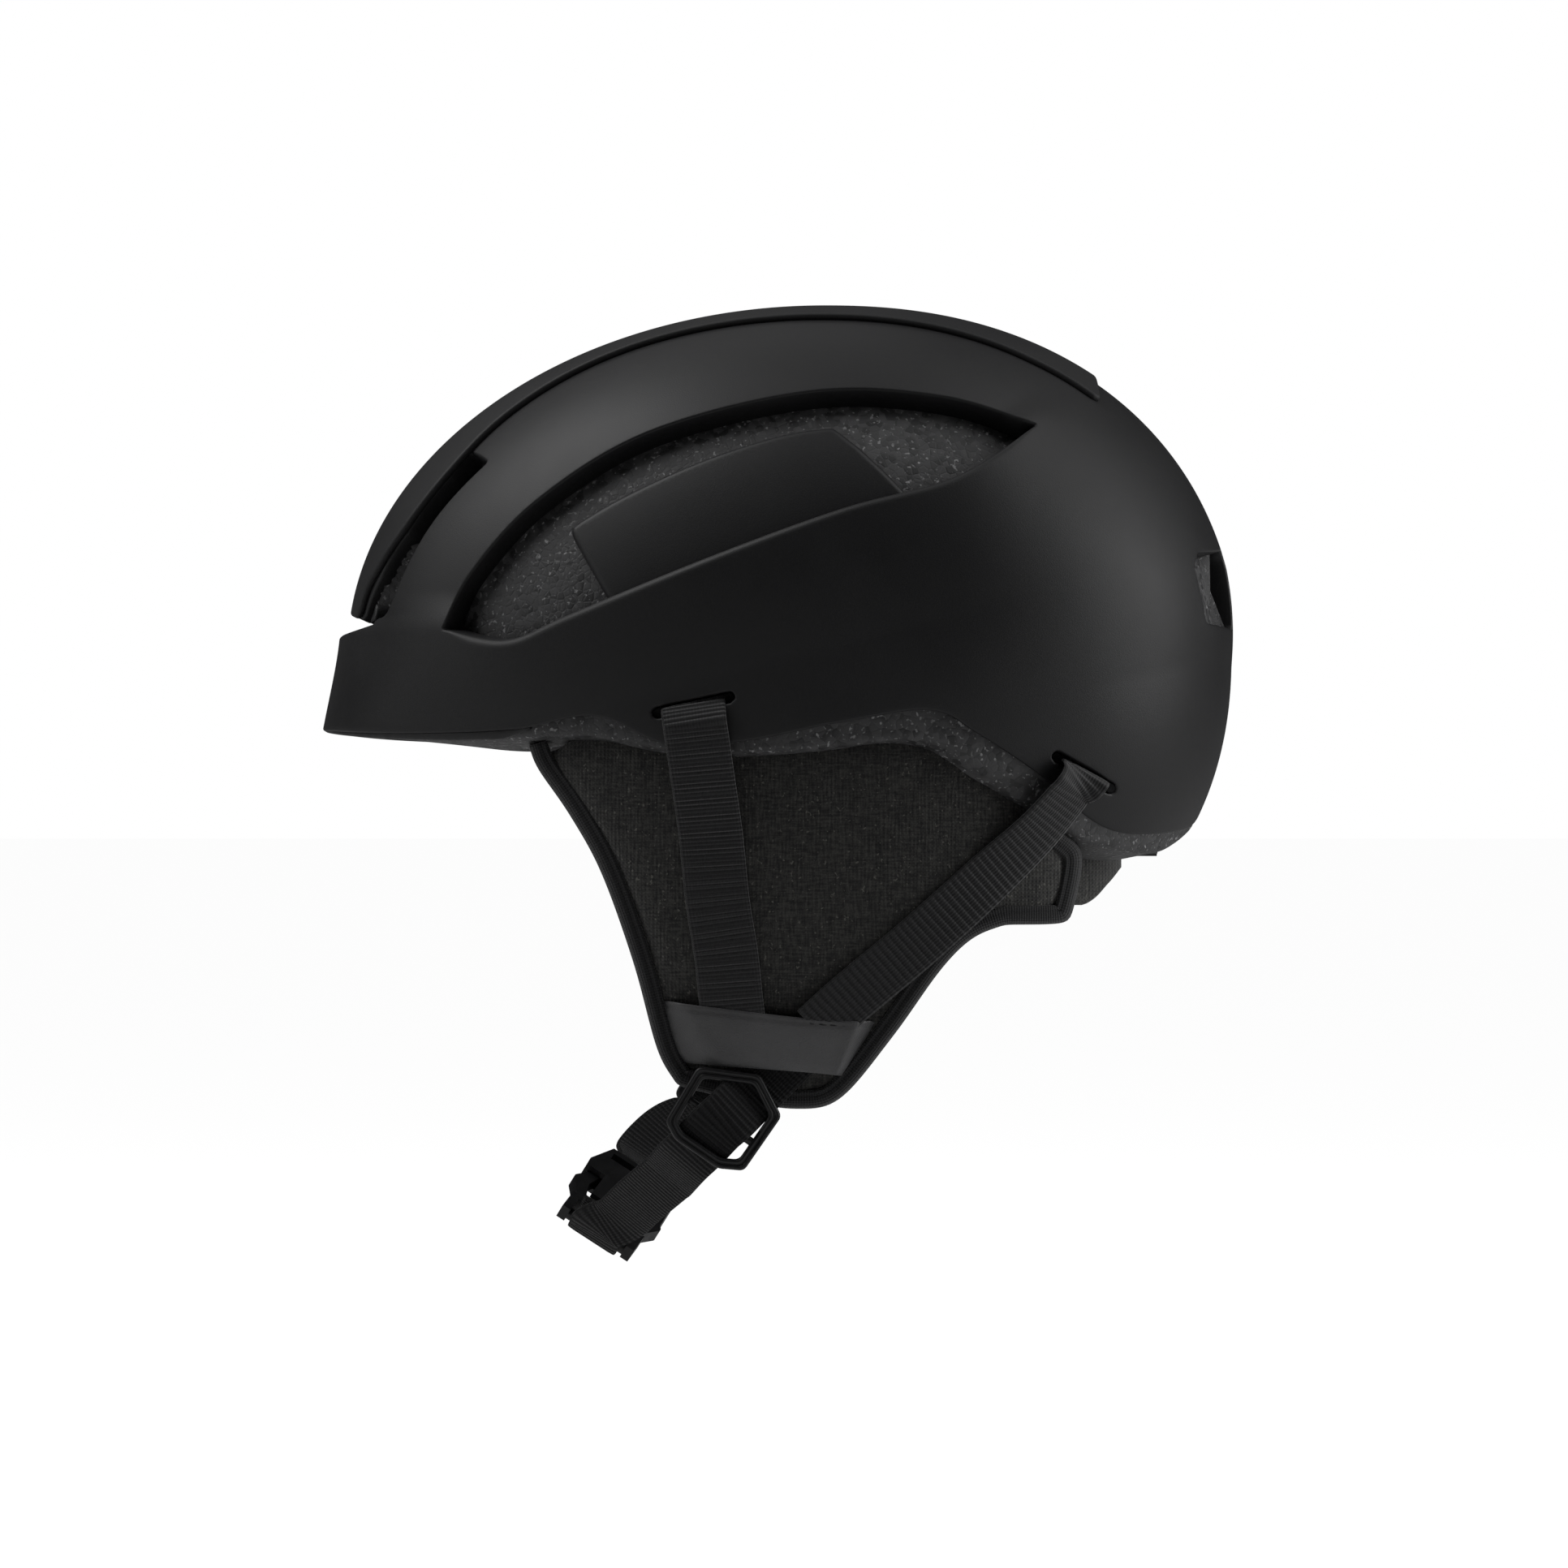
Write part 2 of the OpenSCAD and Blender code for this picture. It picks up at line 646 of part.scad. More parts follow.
// Block from x0 to x1, y0 to y1, centred on z = 0
module slab(x0, x1, y0, y1, h) {
  translate([x0, y0, -h / 2]) cube([x1 - x0, y1 - y0, h]);
}
module buckle_socket() {
  wall = 1.6;
  inner = buckle_half_w - wall;
  color([0.04, 0.04, 0.045]) in_buckle() difference() {
    linear_extrude(buckle_h, center = true) hull() {
      translate([socket_mouth, 1 - buckle_half_w]) square([1, 2 * buckle_half_w - 2]);
      translate([socket_sides + 4, -buckle_half_w]) square([1, 2 * buckle_half_w]);
      translate([socket_back - 6, 4 - buckle_half_w]) square([6, 2 * buckle_half_w - 8]);
    }
    // Channel for the blade and prongs, open at the mouth
    slab(socket_mouth - 1, socket_sides + 7, -inner, inner, buckle_h - 2 * wall);
    // Open sides where the prongs are pressed
    for (side = [-1, 1])
      slab(socket_mouth - 1, socket_sides, side > 0 ? 8 : -20, side > 0 ? 20 : -8, buckle_h + 1);
    // Slot for the webbing
    slab(socket_back - 7, socket_back - 3, -10, 10, buckle_h + 1);
  }
}
module buckle_tongue() {
  color([0.04, 0.04, 0.045]) in_buckle() {
    difference() {
      slab(-bar_r, frame_back, -13, 13, 4.4);
      slab(-bar_r - 1, frame_back - 3, -10.2, 10.2, 6);
    }
    rotate([90, 0, 0]) cylinder(r = bar_r, h = 21, center = true);
    slab(frame_back, socket_sides + 4, -blade_w / 2, blade_w / 2, 3);
  }
}
// One prong, on the +y side: a sprung arm with a pressed face outside the socket
prong_h = 4;
module prong() {
  translate([prong_root, prong_x]) cylinder(r = prong_w / 2 + 0.2, h = prong_h, center = true);
  linear_extrude(prong_h, center = true) {
    hull() {
      translate([prong_root, prong_x]) circle(prong_w / 2);
      translate([socket_mouth + 8, buckle_half_w - 1.8]) circle(2.6);
    }
    hull() {
      translate([socket_mouth + 8, buckle_half_w - 1.8]) circle(2.6);
      translate([socket_sides + 3, prong_x - 0.6]) circle(1.5);
    }
  }
}
module buckle_prong_front() {
  color([0.04, 0.04, 0.045]) in_buckle() mirror([0, 1, 0]) prong();
}
module buckle_prong_rear() {
  color([0.04, 0.04, 0.045]) in_buckle() prong();
}
// End of the chin webbing, folded round the tongue's bar
fold_turn = 52;
fold_tail = 8;
module chin_web_fold() {
  inner = bar_r + 0.15;
  color([0.15, 0.15, 0.16]) in_buckle() rotate([90, 0, 0]) translate([0, 0, -web_w / 2])
    linear_extrude(web_w) difference() {
      union() {
        circle(inner + web_t);
        rotate(180 + fold_turn) translate([0, -inner - web_t]) square([fold_tail + inner, web_t]);
      }
      circle(inner);
    }
}

// ---- Nape cradle with its fit dial ----
dial_z = -26;
cradle_half_w = 20;
cradle_low = -37.5;
cradle_high = -14.5;
cover_y = 97;
cover_t = 1.9;
housing_y = 99;
housing_t = 6.5;
channel_t = 4.2;
channel_half_h = 9.6;
shaft_r = 4;
cradle_round = 4;
module cradle_plan(half_w) {
  translate([0, (cradle_low + cradle_high) / 2]) offset(cradle_round)
    square(2 * [half_w - cradle_round, (cradle_high - cradle_low) / 2 - cradle_round], center = true);
}
// Stands a rear-view drawing, (x, z) as (x, y), up from y0 towards +Y
module rear_prism(y0, t) {
  translate([0, y0 + t, 0]) rotate([90, 0, 0]) linear_extrude(t) children();
}
module cradle_housing() {
  color([0.06, 0.06, 0.065]) difference() {
    rear_prism(housing_y, housing_t) cradle_plan(cradle_half_w);
    translate([-cradle_half_w - 1, housing_y - 1, dial_z - channel_half_h])
      cube([2 * cradle_half_w + 2, channel_t + 1, 2 * channel_half_h]);
    translate([0, housing_y, dial_z]) rotate([-90, 0, 0]) cylinder(r = shaft_r + 0.1, h = 20);
  }
}
module cradle_cover() {
  color([0.07, 0.07, 0.075]) rear_prism(cover_y, cover_t) cradle_plan(cradle_half_w - 3);
}
arm_x = 14;
arm_w = 6;
arm_t = 1.6;
arm_top = 24;
module cradle_hanger() {
  color([0.07, 0.07, 0.075]) {
    translate([-cradle_half_w + 1, housing_y, cradle_high + 0.1]) cube([2 * cradle_half_w - 2, arm_t, 4]);
    for (side = [-1, 1]) translate([side * arm_x - arm_w / 2, housing_y, cradle_high + 4])
      cube([arm_w, arm_t, arm_top - cradle_high - 4]);
  }
}
clip_low = 8;
clip_h = 7;
module hanger_clips() {
  color([0.10, 0.10, 0.11]) for (side = [-1, 1]) difference() {
    translate([side * arm_x - arm_w / 2 - 2, housing_y - 2, clip_low]) cube([arm_w + 4, 6.4, clip_h]);
    translate([side * arm_x - arm_w / 2 - gap, housing_y - gap, clip_low - 1])
      cube([arm_w + 2 * gap, arm_t + 2 * gap, clip_h + 2]);
  }
}

// Rack and pinion: module 1 teeth with straight flanks
tooth_pitch = PI;
pitch_r = pinion_teeth / 2;
tooth_half = 0.56;
module pinion_outline() {
  union() {
    circle(pitch_r - 1.15);
    for (i = [0:pinion_teeth - 1]) rotate(i * 360 / pinion_teeth) polygon([
      [-0.72, pitch_r - 1.6], [0.72, pitch_r - 1.6], [tooth_half, pitch_r], [0.22, pitch_r + 0.85],
      [-0.22, pitch_r + 0.85], [-tooth_half, pitch_r]
    ]);
  }
}
module dial_pinion() {
  color([0.75, 0.72, 0.62]) difference() {
    union() {
      rear_prism(housing_y + 0.5, 3.2) translate([0, dial_z])
        pinion_outline();
      translate([0, housing_y + 3.6, dial_z]) rotate([-90, 0, 0]) cylinder(r = shaft_r, h = 8);
    }
    translate([0, housing_y + 1, dial_z]) rotate([-90, 0, 0]) cylinder(r = 1.45, h = 20);
  }
}
rack_y = housing_y + 0.5;
rack_t = 3.2;
rack_back = -8;
rack_front = 33;
// Rack above the pinion, teeth down, then an arm that follows the wall of the cavity
module band() {
  n = 8;
  arm_from = 74;
  arm_to = 48;
  arm_low = dial_z + pitch_r + 1.2;
  arm_high = dial_z + pitch_r + 4.2;
  function face(t) = [for (j = [0, 1]) [for (i = [0:n])
    let (p = cavity(mix(arm_from, arm_to, i / n), 0, t)) [p[0], p[1], j == 0 ? arm_low : arm_high]]];
  rear_prism(rack_y, rack_t) translate([0, dial_z + pitch_r]) {
    translate([rack_back, 1.2]) square([rack_front - rack_back, 3]);
    for (i = [-2:5]) translate([(i + 0.5) * tooth_pitch, 0]) polygon([
      [-1, 1.3], [-tooth_half, 0], [-0.26, -0.85], [0.26, -0.85], [tooth_half, 0], [1, 1.3]
    ]);
  }
  plate(face(1.5), face(3.3));
}
module band_left() {
  color([0.07, 0.07, 0.075]) band();
}
module band_right() {
  color([0.07, 0.07, 0.075]) translate([0, 0, 2 * dial_z]) rotate([0, 180, 0]) band();
}
dial_y = 106.2;
dial_t = 9;
grip_notches = 24;
module fit_dial() {
  color([0.05, 0.05, 0.055]) difference() {
    rear_prism(dial_y, dial_t) translate([0, dial_z]) difference() {
      circle(dial_r);
      for (i = [0:grip_notches - 1]) rotate(i * 360 / grip_notches) translate([dial_r + 0.6, 0]) circle(1.3);
    }
    translate([0, dial_y - 1, dial_z]) rotate([-90, 0, 0]) cylinder(r = shaft_r + 0.05, h = 6.5);
    translate([0, dial_y, dial_z]) rotate([-90, 0, 0]) cylinder(r = 1.5, h = 20);
    translate([0, dial_y + dial_t - 2, dial_z]) rotate([-90, 0, 0]) cylinder(r = 3.6, h = 3);
  }
}
module dial_screw() {
  color([0.55, 0.56, 0.58]) translate([0, dial_y + dial_t, dial_z]) rotate([90, 0, 0]) difference() {
    union() {
      translate([0, 0, 0.4]) cylinder(r = 3.4, h = 1.6);
      cylinder(r = 1.4, h = 13);
    }
    translate([0, 0, -1]) cylinder(r = 1.2, h = 2.2, $fn = 6);
  }
}
NAPE_LOW = [[48, -52], [57, -54.2], [62.5, -52.5], [70, -48], [80, -44], [90, -43]];
nape_top = -38;
module nape_pad() {
  n = 28;
  function low(a) = height_at(NAPE_LOW, fold(a));
  function face(t) = [for (j = [0, 1]) [for (i = [0:n])
    let (a = mix(48, 132, i / n), p = cavity(a, 0, t)) [p[0], p[1], j == 0 ? low(a) : nape_top]]];
  color([0.08, 0.08, 0.085]) plate(face(2.5), face(11));
}

outer_shell();
top_ridge();
vent_bridge_left();
vent_bridge_right();
brow_trim();
foam_liner();
brow_pad();
crown_pad_front();
crown_pad_rear();
side_pads();
rear_pads();
ear_pad_left();
ear_pad_right();
ear_binding_left();
ear_binding_right();
strap_cover_left();
strap_cover_right();
ear_pad_snaps();
strap_anchors();
strap_front_left();
strap_front_right();
strap_rear_left();
strap_rear_right();
strap_divider_left();
strap_divider_right();
chin_web_left();
chin_web_right();
buckle_socket();
buckle_tongue();
buckle_prong_front();
buckle_prong_rear();
chin_web_fold();
cradle_housing();
cradle_cover();
cradle_hanger();
hanger_clips();
band_left();
band_right();
fit_dial();
dial_pinion();
dial_screw();
nape_pad();
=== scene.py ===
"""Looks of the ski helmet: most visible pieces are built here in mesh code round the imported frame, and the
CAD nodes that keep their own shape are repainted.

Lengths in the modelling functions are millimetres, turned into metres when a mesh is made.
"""

import math

import bmesh
import bpy
import numpy as np
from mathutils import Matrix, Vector


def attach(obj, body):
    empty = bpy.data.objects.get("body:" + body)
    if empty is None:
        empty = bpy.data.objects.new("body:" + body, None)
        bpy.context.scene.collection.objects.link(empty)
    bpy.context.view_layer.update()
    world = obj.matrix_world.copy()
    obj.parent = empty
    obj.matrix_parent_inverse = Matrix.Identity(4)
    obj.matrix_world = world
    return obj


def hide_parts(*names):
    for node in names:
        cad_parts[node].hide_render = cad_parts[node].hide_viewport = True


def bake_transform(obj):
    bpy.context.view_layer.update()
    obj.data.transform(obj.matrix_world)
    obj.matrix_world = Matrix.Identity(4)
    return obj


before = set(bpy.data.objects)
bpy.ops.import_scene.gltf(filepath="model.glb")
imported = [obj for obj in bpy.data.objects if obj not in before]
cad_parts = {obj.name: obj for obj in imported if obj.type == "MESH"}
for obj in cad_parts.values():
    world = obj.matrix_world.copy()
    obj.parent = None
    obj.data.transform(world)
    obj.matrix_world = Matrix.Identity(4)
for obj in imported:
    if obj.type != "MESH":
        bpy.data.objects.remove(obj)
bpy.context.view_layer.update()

MM = 0.001

# ---------------------------------------------------------------- dome of the shell
SHELL_HALF_W = 107.5
SHELL_FRONT = 144.5
SHELL_REAR = 126.6
SHELL_RISE = 105.0
SHELL_DROP = 112.0
DOME_Y = 13.0
DOME_Z = 22.0
REAR_LIFT = 3.0
BROW_STEP = 4.7
BROW_LIP = 7.2
BROW_DROP = 28.0
BROW_CURVE = 1.6
BROW_SLOT_Z = (27.0, 34.0)
BROW_SLOT_MID = sum(BROW_SLOT_Z) / 2
SIDE_POW = 2.4
FRONT_POW = 2.0
REAR_POW = 2.25
RISE_POW = 2.0
DROP_POW = 2.2
SHELL_T = 2.0
RIDGE_H = 2.0
FIT_GAP = 0.2

SHELL_RIM = [
    (-90, -0.5), (-60, -2), (-40, -1), (-28, 2.7), (-19, -5.5), (-9, -4), (3, 2), (10, 4.6),
    (14, 3.2), (17.5, -1.4), (23, -8), (30, -16.3), (39, -27), (47, -32), (56, -33.2), (68, -32.6),
    (79, -31), (85, -28.5), (90, -25),
]
LINER_RIM = [
    (-90, -2), (-72, -3.2), (-50, -5), (-30, -4), (-20, -8), (-10, -9), (0, -7.5), (8, -5), (14, -7),
    (20, -15), (26, -21.5), (32, -27), (42, -35), (56, -38), (67, -38), (79, -33), (90, -28),
]
CAVITY_HALF_W = 84.0
CAVITY_HALF_L = 104.0
CAVITY_RISE = 96.0
CAVITY_Y = 3.0
CAVITY_POW = 2.2


def smooth(t):
    c = np.clip(t, 0.0, 1.0)
    return c * c * (3 - 2 * c)


def mix(a, b, t):
    return a + (b - a) * t


def spline(points, steps=12):
    """Catmull-Rom curve through points, of any dimension."""
    p = np.array(points, float)
    out = []
    for i in range(len(p) - 1):
        a, b, c, d = p[max(0, i - 1)], p[i], p[i + 1], p[min(len(p) - 1, i + 2)]
        for k in range(steps):
            t = k / steps
            cubic = 1.5 * (b - c) + (d - a) / 2
            out.append(b + t * ((c - a) / 2 + t * (a - 2.5 * b + 2 * c - d / 2 + t * cubic)))
    out.append(p[-1])
    return np.array(out)


def height_at(pairs, angle):
    """Height along [angle, height] pairs, smooth between them."""
    p = np.array(pairs, float)
    i = np.clip(np.searchsorted(p[:, 0], angle, side="right") - 1, 0, len(p) - 2)
    before, after = np.maximum(0, np.arange(len(p)) - 1), np.minimum(len(p) - 1, np.arange(len(p)) + 1)
    slope = (p[after, 1] - p[before, 1]) / np.maximum(0.01, p[after, 0] - p[before, 0])
    w = p[i + 1, 0] - p[i, 0]
    t = (angle - p[i, 0]) / w
    return (p[i, 1] * (1 + 2 * t) * (1 - t) ** 2 + slope[i] * w * t * (1 - t) ** 2
            + p[i + 1, 1] * t ** 2 * (3 - 2 * t) + slope[i + 1] * w * t ** 2 * (t - 1))


def flare(round_sin, z):
    """Forward reach of the brow: a step below its slot, then a curve out to its edge."""
    low, high = BROW_SLOT_Z
    step = BROW_STEP * smooth((high - z) / (high - low)) * round_sin ** 12
    return step + BROW_LIP * np.clip((low - z) / BROW_DROP, 0, 1) ** BROW_CURVE * round_sin ** 6


def dome(phi, psi, inset=0.0):
    """Point of the shell's dome, phi round it from +X and psi up it, in degrees."""
    phi, psi = np.radians(phi), np.radians(psi)
    back = np.sin(phi) > 0
    round_ = np.cos(psi) ** 2
    side = round_ * np.cos(phi) ** 2
    along = round_ * np.sin(phi) ** 2
    length = np.where(back, SHELL_REAR, SHELL_FRONT) - inset
    rise = SHELL_RISE + np.where(back, REAR_LIFT * along, 0)
    height = np.where(psi < 0, SHELL_DROP, rise) - inset
    z = DOME_Z + np.sign(psi) * height * (np.sin(psi) ** 2) ** np.where(psi < 0, 1 / DROP_POW, 1 / RISE_POW)
    forward = np.where(back, 0, flare(np.sin(phi), z))
    x = np.sign(np.cos(phi)) * (SHELL_HALF_W - inset) * side ** (1 / SIDE_POW)
    power = np.where(back, 1 / REAR_POW, 1 / FRONT_POW)
    y = DOME_Y - forward + np.sign(np.sin(phi)) * length * along ** power
    return np.stack([x, y, z * np.ones_like(x)], -1)


def low_angle(z, inset=0.0):
    """Latitude of the dome at a height below its widest line."""
    return -np.degrees(np.arcsin(np.sqrt(((DOME_Z - z) / (SHELL_DROP - inset)) ** DROP_POW)))


def dome_x(y, z):
    """Half width of the dome at (y, z), behind the brow."""
    back = y > DOME_Y
    reach, power = np.where(back, SHELL_REAR, SHELL_FRONT), np.where(back, REAR_POW, FRONT_POW)
    along = (np.abs(y - DOME_Y) / reach) ** power
    rise = SHELL_RISE + np.where(back, REAR_LIFT * along, 0)
    above, below = np.abs((z - DOME_Z) / rise) ** RISE_POW, np.abs((z - DOME_Z) / SHELL_DROP) ** DROP_POW
    high = np.where(z > DOME_Z, above, below)
    return SHELL_HALF_W * np.maximum(0, 1 - along - high) ** (1 / SIDE_POW)


def cavity(phi, z, inset=0.0):
    """Point of the head cavity's wall."""
    phi = np.radians(phi)
    high = np.maximum(0, z) / (CAVITY_RISE - inset)
    round_ = (1 - np.minimum(1, high ** CAVITY_POW)) ** (1 / CAVITY_POW)

    def reach(half, turn):
        return np.sign(turn) * (half - inset) * round_ * np.abs(turn) ** (2 / CAVITY_POW)
    x, y = reach(CAVITY_HALF_W, np.cos(phi)), CAVITY_Y + reach(CAVITY_HALF_L, np.sin(phi))
    return np.stack([x, y, z * np.ones_like(x)], -1)


# ---------------------------------------------------------------- side-view outlines, (y, z)
VENT_TOP = [(-100.5, 28), (-92, 44.5), (-72, 66), (-39, 86), (8.6, 98), (47, 96.7), (75, 88.5)]
VENT_FOOT = [(75, 88.5), (51, 73), (18, 63.4), (-20, 49.4), (-63, 32), (-82, 24.5), (-100.5, 28)]
BRIDGE_TOP = [(-64, 58), (-48.5, 67.2), (-24.7, 78.2), (-1, 86), (15, 88.6)]
BRIDGE_REAR = [(23, 82), (30, 75.2), (37, 68)]
FRONT_SLOT = [(-36.5, 3), (-15.5, 7.5)]
REAR_SLOT = [(81, -10), (97, -19)]
STRAP_SLOT_H = 3.4
BROW_SLOT_HALF_W = 44.0
# Plan of the ridge and of the outer side of the slots beside it, (x, y)
RIDGE_EDGE = [(29, -150), (30, -133), (34, -128), (41, -122), (47, -113), (48.5, -100), (44.5, -84),
              (40.5, -60), (39, -35), (40, 15), (43, 48), (46.5, 75), (47.5, 97)]
SLOT_EDGE = [(40, -150), (40.5, -124), (44.2, -122), (50, -118), (53.2, -112), (54.9, -104), (56.4, -95),
             (57, -88.6)]
SLOT_TUCK = [(45.6, -94), (47, -100), (45.5, -113), (39.5, -122), (32.5, -128), (28.5, -133), (27.5, -150)]
REAR_VENT = [(11, 52), (53, 51), (57, 47), (54, 31), (12, 30)]

ridge_edge = np.concatenate([RIDGE_EDGE[:2], spline(RIDGE_EDGE[1:-1])[1:], RIDGE_EDGE[-1:]])
ridge_plan = np.concatenate([ridge_edge, ridge_edge[::-1] * (-1, 1)])
slot_plan = np.concatenate([spline(SLOT_EDGE), SLOT_TUCK])
vent_outline = np.concatenate([spline(VENT_TOP)[:-1], spline(VENT_FOOT)[:-1]])
bridge_outline = np.concatenate([spline(BRIDGE_TOP), np.array(BRIDGE_REAR), np.array([(40, 50), (-48, 30)])])


def inside(points, outline):
    """Signed distance of 2D points to a closed outline, positive inside."""
    shape = points.shape[:-1]
    p = points.reshape(-1, 2)
    a = np.asarray(outline, float)
    b = np.roll(a, -1, 0)
    best = np.full(len(p), np.inf)
    within = np.zeros(len(p), bool)
    for (ax, ay), (bx, by) in zip(a, b):
        ex, ey = bx - ax, by - ay
        t = np.clip(((p[:, 0] - ax) * ex + (p[:, 1] - ay) * ey) / max(1e-9, ex * ex + ey * ey), 0, 1)
        best = np.minimum(best, (p[:, 0] - ax - t * ex) ** 2 + (p[:, 1] - ay - t * ey) ** 2)
        crosses = (ay > p[:, 1]) != (by > p[:, 1])
        with np.errstate(divide="ignore", invalid="ignore"):
            within ^= crosses & (p[:, 0] < ex * (p[:, 1] - ay) / (by - ay) + ax)
    return np.where(within, 1, -1).reshape(shape) * np.sqrt(best).reshape(shape)


def capsule(points, a, b, radius):
    """Signed distance of 2D points to a slot from a to b, positive inside."""
    a, b = np.array(a, float), np.array(b, float)
    d = b - a
    t = np.clip(((points - a) @ d) / (d @ d), 0, 1)[..., None]
    return radius - np.linalg.norm(points - a - t * d, axis=-1)


# ---------------------------------------------------------------- meshes
def make_object(name, verts, faces, material, body=None, uv=None):
    """Object from millimetre vertices, smooth shaded, riding on a CAD body if one is named."""
    mesh = bpy.data.meshes.new(name)
    mesh.from_pydata((np.asarray(verts) * MM).tolist(), [], [tuple(map(int, f)) for f in faces])
    if uv is not None:
        layer = mesh.uv_layers.new(name="weave")
        loop_verts = np.zeros(len(mesh.loops), np.int64)
        mesh.loops.foreach_get("vertex_index", loop_verts)
        layer.data.foreach_set("uv", np.asarray(uv, np.float32)[loop_verts].ravel())
    mesh.validate()
    obj = bpy.data.objects.new(name, mesh)
    bpy.context.scene.collection.objects.link(obj)
    mesh.materials.append(material)
    bm = bmesh.new()
    bm.from_mesh(mesh)
    bmesh.ops.recalc_face_normals(bm, faces=bm.faces)
    bm.to_mesh(mesh)
    bm.free()
    mesh.shade_smooth()
    if body:
        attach(obj, body)
    return obj


def surface_normals(surface, u, v):
    """Unit normals of a parametric surface, by differences."""
    e = 1e-3
    du = surface(u + e, v) - surface(u - e, v)
    dv = surface(u, v + e) - surface(u, v - e)
    n = np.cross(du, dv)
    return n / np.maximum(1e-12, np.linalg.norm(n, axis=-1, keepdims=True))


def clip_grid(surface, us, vs, keep, wrap=False):
    """Faces of the grid surface(u, v) where keep(point) is positive, cut exactly along keep = 0.

    Returns the (u, v) of each vertex and the faces.
    """
    step = us[1] - us[0]
    uu, vv = np.meshgrid(us, vs)
    value = keep(surface(uu, vv))
    nv, nu = value.shape
    right = 1 if wrap else 0
    corner = np.full((nv, nu), -1)
    kept = value > 0
    corner[kept] = np.arange(kept.sum())
    uv = [np.stack([uu[kept], vv[kept]], -1)]
    count = kept.sum()

    def crossings(j0, i0, j1, i1, u1):
        """Vertices on the grid edges where keep changes sign."""
        nonlocal count
        changes = kept[j0, i0] != kept[j1, i1]
        index = np.full(changes.shape, -1)
        a = np.stack([uu[j0, i0], vv[j0, i0]], -1)[changes]
        b = np.stack([u1, vv[j1, i1]], -1)[changes]
        ka, kb = value[j0, i0][changes], value[j1, i1][changes]
        for _ in range(5):
            t = np.clip(ka / np.where(ka == kb, 1, ka - kb), 0.02, 0.98)[:, None]
            m = a + (b - a) * t
            km = keep(surface(m[:, 0], m[:, 1]))
            first = (km > 0) == (ka > 0)
            a, ka = np.where(first[:, None], m, a), np.where(first, km, ka)
            b, kb = np.where(first[:, None], b, m), np.where(first, kb, km)
        index[changes] = count + np.arange(changes.sum())
        count += changes.sum()
        uv.append(m if len(a) else np.zeros((0, 2)))
        return index

    jj, ii = np.meshgrid(np.arange(nv), np.arange(nu - 1 + right), indexing="ij")
    across = crossings(jj, ii, jj, (ii + 1) % nu, uu[jj, ii] + step)
    jj, ii = np.meshgrid(np.arange(nv - 1), np.arange(nu), indexing="ij")
    up = crossings(jj, ii, jj + 1, ii, uu[jj, ii])
    faces = []
    for j in range(nv - 1):
        for i in range(nu - 1 + right):
            k = (i + 1) % nu
            ring = [corner[j, i], across[j, i], corner[j, k], up[j, k],
                    corner[j + 1, k], across[j + 1, i], corner[j + 1, i], up[j, i]]
            face = [q for q in ring if q >= 0]
            if len(face) > 2:
                faces.append(face)
    return np.concatenate(uv), faces


def boundary_loops(faces):
    """Ordered loops of the edges that only one face uses, in the direction of that face."""
    edges = {}
    for f in faces:
        for a, b in zip(f, f[1:] + f[:1]):
            edges[(a, b)] = True
    following = {a: b for (a, b) in edges if (b, a) not in edges}
    loops = []
    while following:
        start, at = next(iter(following.items()))
        loop = [start]
        del following[start]
        while at != start and at in following:
            loop.append(at)
            at = following.pop(at)
        loops.append(loop)
    return loops


def loop_outward(points, normals, reach=2.0):
    """Directions along the surface, out of the faces, at a loop's points."""
    p = np.asarray(points)
    length = np.linalg.norm(np.roll(p, -1, 0) - p, axis=1)
    s = np.concatenate([[0], np.cumsum(length)])
    closed = np.concatenate([p, p[:1]])

    def at(x):
        x = np.mod(x, s[-1])
        return np.stack([np.interp(x, s, closed[:, k]) for k in range(3)], -1)
    tangent = at(s[:-1] + reach) - at(s[:-1] - reach)
    out = np.cross(tangent, normals)
    return out / np.maximum(1e-9, np.linalg.norm(out, axis=1, keepdims=True))


def rounded_edge(radius, thickness, steps=3):
    """Profile (out, up) of an edge rounded on both faces, from the outer face to the inner one."""
    top = [(radius * math.sin(a), -radius * (1 - math.cos(a)))
           for a in (math.pi / 2 * k / steps for k in range(1, steps + 1))]
    foot = [(x, -thickness - z) for x, z in reversed(top)]
    return top + foot


def skin(surface, us, vs, keep, thickness, profile, wrap=False, flip=False):
    """Closed shell from a clipped grid: outer face, edges that follow a profile, inner face."""
    uv, faces = clip_grid(surface, us, vs, keep, wrap)
    outer = surface(uv[:, 0], uv[:, 1])
    normals = surface_normals(surface, uv[:, 0], uv[:, 1]) * (-1 if flip else 1)
    if flip:
        faces = [f[::-1] for f in faces]
    n = len(outer)
    verts = [outer, outer - normals * thickness]
    all_faces = list(faces) + [[q + n for q in f[::-1]] for f in faces]
    count = 2 * n
    for loop in boundary_loops(faces):
        p, nn = outer[loop], normals[loop]
        out = loop_outward(p, nn)
        rows = [np.array(loop)]
        for across, up in (profile(p) if callable(profile) else profile):
            across = np.reshape(across, (-1, 1))
            up = np.reshape(up, (-1, 1))
            verts.append(p + out * across + nn * up)
            rows.append(count + np.arange(len(loop)))
            count += len(loop)
        rows.append(np.array(loop) + n)
        for a, b in zip(rows, rows[1:]):
            a2, b2 = np.roll(a, -1), np.roll(b, -1)
            all_faces += [[a2[k], a[k], b[k], b2[k]] for k in range(len(a))]
    uv_all = np.concatenate([uv, uv] + [np.zeros((len(v), 2)) for v in verts[2:]])
    return np.concatenate(verts), all_faces, uv_all


